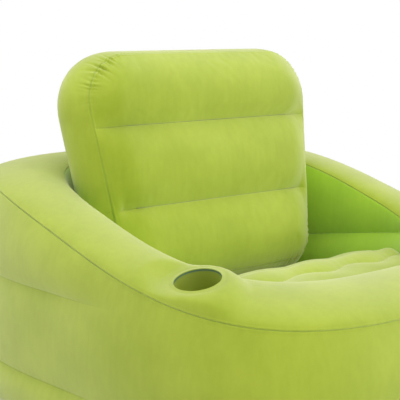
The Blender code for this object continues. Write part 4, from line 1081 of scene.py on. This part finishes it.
def press_out(piece):
    """Let air press the backrest's cloth out, held along its seam and its welds.

    No point moves further than BACK_AIR_REACH. The foot and the valve's patch stay.
    """
    start = point_values(piece.data.vertices, "co", 3)
    held = point_values(piece.data.attributes["held"].data, "value", 1)[:, 0]
    group = piece.vertex_groups.new(name="held")
    group.add(np.flatnonzero(held > 0.5).tolist(), 1.0, "REPLACE")
    cloth = piece.modifiers.new("air", "CLOTH").settings
    cloth.vertex_group_mass = group.name
    set_all(cloth, BACK_CLOTH)
    cloth.effector_weights.gravity = 0.0
    for number in range(1, BACK_AIR_FRAMES + 1):
        bpy.context.scene.frame_set(number)
    made = piece.evaluated_get(bpy.context.evaluated_depsgraph_get()).data
    moved = point_values(made.vertices, "co", 3) - start
    length = np.linalg.norm(moved, axis=-1)
    place = back_place()
    across, up, level = ((start - place[:3, 3]) @ place[:3, :3]).T
    valve = np.hypot(across - BACK_VALVE_ACROSS, up - BACK_VALVE_UP) + (level < BACK_THICKNESS / 2)
    free = smooth((up - BACK_FOOT_HELD) / BACK_FOOT_BLEND) * smooth(valve / BACK_VALVE_HELD - 1.0)
    moved *= (free * BACK_AIR_REACH / (BACK_AIR_REACH + length))[:, None]
    piece.modifiers.clear()
    piece.vertex_groups.clear()
    piece.data.vertices.foreach_set("co", (start + moved).astype(np.float32).ravel())
    piece.data.update()
    bpy.context.scene.frame_set(1)


def make_backrest(finish):
    """Make the backrest cushion: two quilted faces and the swollen band between them."""
    arcs = back_side()
    x, up, half, loop = back_grid(arcs)
    edge = np.stack([x, up], axis=-1).reshape(-1, 2)[loop]
    run = np.roll(edge, -1, axis=0) - np.roll(edge, 1, axis=0)
    outwards = unit(np.stack([run[:, 1], -run[:, 0]], axis=-1))
    along, length = column_lengths(edge)
    seam = (along, length, pucker_weight(edge, along, length))
    to_seam = corner_distance(x, up, arcs)
    front, rear = back_faces(x, up, half, to_seam, edge, outwards, seam)
    band, away = back_band(edge, outwards, seam)
    band[0], band[-1] = front.reshape(-1, 3)[loop], rear.reshape(-1, 3)[loop]
    faces = grid_quads(*x.shape, False)
    band_faces = grid_quads(*band.shape[:2], True)
    points, faces = joined([(front, faces[:, ::-1]), (rear, faces), (band, band_faces)])
    piece = add_mesh("backrest_cushion", placed(points, back_place()), faces, finish, "backrest",
                     "flocked_sheet")
    held = to_seam
    for weld, fade in zip(BACK_WELDS_UP, BACK_WELD_FADES):
        inside = half - np.abs(x) > fade * BACK_AIR_FADE_SHARE
        held = np.where(inside, np.minimum(held, np.abs(up - weld)), held)
    presses, held = [np.concatenate([part.ravel(), part.ravel(), away.ravel()]) for part in (to_seam, held)]
    add_values(piece, bell(presses, PRESSED_WIDTH))
    add_values(piece, held < BACK_AIR_HELD, "held")
    cleaned(piece, BACK_MERGE)
    press_out(piece)
    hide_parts("backrest_front_panel", "backrest_rear_panel", "backrest_gusset")


# Valves

def tub_valve_place():
    """Return the place of the tub's valve, at the middle of its back wall."""
    centre = (0.0, TUB_DEPTH / 2, TUB_VALVE_HEIGHT)
    return placing(centre, (0.0, 0.0, 1.0), (1.0, 0.0, 0.0), (0.0, 1.0, 0.0))


def back_valve_place():
    """Return the place of the backrest's valve, low on its rear face."""
    centre = (BACK_VALVE_ACROSS, BACK_VALVE_UP, BACK_THICKNESS + BACK_CROWN)
    return back_place() @ placing(centre, (0.0, 1.0, 0.0), (-1.0, 0.0, 0.0), (0.0, 0.0, 1.0))


def make_valve(prefix, carrier, place, plastic):
    """Make a valve: a throat with a hinge ear, its plug, the plug's cap and the flap."""
    bore, outer, top = VALVE_BORE_RADIUS, VALVE_BORE_RADIUS + VALVE_WALL, VALVE_STANDS_OUT
    flange, under, deep = -VALVE_SINK, -VALVE_SINK - VALVE_FLANGE_THICK, -VALVE_THROAT_DEPTH
    body = ((bore, deep), (outer, deep), (outer, under), (VALVE_FLANGE_RADIUS, under),
            (VALVE_FLANGE_RADIUS, flange), (outer, flange), (outer, top), (bore, top))
    half = VALVE_EAR_WIDTH / 2
    ear = strap((outer - VALVE_WALL / 2, 0.0), (VALVE_EAR_REACH - half, 0.0), half,
                top - VALVE_EAR_THICK, top, place)
    throat = [turned(softened(body), place), ear]
    make_small(prefix + "_throat", throat, plastic, carrier, "valve_plastic", prefix + "_body")
    make_plug(prefix + "_plug", place, top + GAP, plastic)
    make_cap(prefix + "_cap", place, top + GAP + PLUG_DISC_THICK + GAP, plastic)
    seat = top + GAP - PLUG_PEG_DEPTH - GAP
    flap = plate(circle(FLAP_RADIUS, VALVE_SIDES), seat - FLAP_THICK, seat, place)
    make_disc(prefix + "_flap", plastic, flap)


def make_disc(node, plastic, *parts):
    """Make a moving disc of a valve, on the body that has its node's name."""
    make_small(node + "_disc", parts, plastic, node, "valve_plastic", node)


def make_plug(node, place, seat, plastic):
    """Make the plug: a disc with a peg and a bore, and its strap."""
    peg, high, deep = VALVE_BORE_RADIUS - SLIDE_GAP, seat + PLUG_DISC_THICK, seat - PLUG_PEG_DEPTH
    profile = ((PLUG_BORE_RADIUS, high), (PLUG_BORE_RADIUS, deep), (peg, deep), (peg, seat),
               (PLUG_DISC_RADIUS, seat), (PLUG_DISC_RADIUS, high))
    half = VALVE_EAR_WIDTH / 2
    tongue = strap((PLUG_DISC_RADIUS - VALVE_WALL, 0.0), (VALVE_EAR_REACH - half, 0.0), half,
                   seat, seat + VALVE_EAR_THICK, place)
    make_disc(node, plastic, turned(softened(profile), place), tongue)


def make_cap(node, place, seat, plastic):
    """Make the cap: a small disc with a peg, and its strap."""
    peg, high, deep = PLUG_BORE_RADIUS - SLIDE_GAP, seat + CAP_DISC_THICK, seat - CAP_PEG_DEPTH
    profile = ((0.0, deep), (peg, deep), (peg, seat), (CAP_DISC_RADIUS, seat), (CAP_DISC_RADIUS, high),
               (0.0, high))
    half = VALVE_EAR_WIDTH / 4
    tongue = strap((0.0, CAP_DISC_RADIUS - VALVE_WALL), (0.0, CAP_EAR_REACH - half), half,
                   seat, seat + CAP_DISC_THICK / 2, place)
    make_disc(node, plastic, turned(softened(profile, False), place, False), tongue)


# Stage, light and camera

def emptied(holder):
    """Return the start of a material's or world's sums, cleared of its nodes."""
    holder.use_nodes = True
    holder.node_tree.nodes.clear()
    return Shade(holder.node_tree)


def camera_sees(start):
    """Return 1 where the camera, a mirror or clear glass looks at the background."""
    seen = [start.node("LightPath", output=name)
            for name in ("Is Camera Ray", "Is Glossy Ray", "Is Transmission Ray")]
    return (seen[0] + seen[1] + seen[2]).clamped()


def make_floor():
    """Lay a white floor that keeps the chair's shadow and meets the white background."""
    signs = np.array([(-1.0, -1.0), (1.0, -1.0), (1.0, 1.0), (-1.0, 1.0)])
    floor = linked_mesh("floor", raised(signs * FLOOR_HALF, 0.0), np.arange(4)[None])
    finish = bpy.data.materials.new("floor_finish")
    start = emptied(finish)
    lit = start.node("BsdfDiffuse", {"Color": FLOOR_GREY})
    bright = start.node("Emission", {"Color": WHITE, "Strength": 1.0})
    place = start.node("TexCoord", output=3)
    far = place.node("VectorMath", {0: place}, {"operation": "LENGTH"}, 1)
    share = (far * FLOOR_WHITE_SLOPE + FLOOR_WHITE_SHARE).clamped() * camera_sees(start)
    mixed = start.node("MixShader", {0: share, 1: lit, 2: bright})
    start.node("OutputMaterial", {"Surface": mixed})
    floor.data.materials.append(finish)


def make_world():
    """Light from all round, with a white background where the camera looks past the chair."""
    world = bpy.data.worlds.new("studio")
    bpy.context.scene.world = world
    start = emptied(world)
    soft = start.node("Background", {"Color": WHITE, "Strength": SKY_STRENGTH})
    bright = start.node("Background", {"Color": WHITE, "Strength": 1.0})
    mixed = start.node("MixShader", {0: camera_sees(start), 1: soft, 2: bright})
    start.node("OutputWorld", {"Surface": mixed})


def make_lamps():
    """Hang the square soft lamps, each facing the chair."""
    for name, (place, size, power) in LAMPS.items():
        light = bpy.data.lights.new(name, "AREA")
        set_all(light, {"shape": "SQUARE", "size": size, "energy": power})
        turn = (Vector(LAMPS_FACE) - Vector(place)).to_track_quat("-Z", "Y").to_euler()
        set_all(linked(name, light), {"location": place, "rotation_euler": turn})


def make_camera():
    """Place the camera that the photograph's outlines were fitted with."""
    data = bpy.data.cameras.new("camera")
    set_all(data, CAMERA)
    camera = linked("camera", data)
    set_all(camera, {"location": CAMERA_PLACE, "rotation_euler": CAMERA_TURN})
    bpy.context.scene.camera = camera


def dress_inner_sheets(film):
    """Give the sheets inside the air chambers, and the hinge's leaves, their film finish."""
    for name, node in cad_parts.items():
        if name.startswith(("seat_beam", "wall_tie", "hinge_leaf", "backrest_web")):
            node.material_slots[0].material = film


def main():
    """Dress the whole chair and set it in its studio."""
    bpy.context.scene.view_settings.view_transform = "Standard"
    flocked = new_finish("flocked_sheet_finish", flock, *NAP)
    # The inner wall's finish is painted shade: the flock made greener where the well lies in shade
    shaded = new_finish("well_painted_shade_finish", flock, *WELL_SHADE_NAP)
    film = new_finish("plain_sheet_finish", bare_film, *FILM)
    cup_film = new_finish("cup_sheet_finish", bare_film, *CUP_FILM)
    plastic = new_finish("valve_plastic_finish", soft_plastic, *VALVE_PLASTIC)
    axes = cup_axes()
    make_rim(flocked, axes)
    make_outer_wall(flocked)
    make_inner_wall(shaded)
    make_base(film)
    make_seat(flocked)
    make_cup(axes, flocked, cup_film)
    make_backrest(flocked)
    make_valve("tub_valve", "tub", tub_valve_place(), plastic)
    make_valve("backrest_valve", "backrest", back_valve_place(), plastic)
    dress_inner_sheets(film)
    make_floor()
    make_world()
    make_lamps()
    make_camera()


main()
bpy.context.view_layer.update()
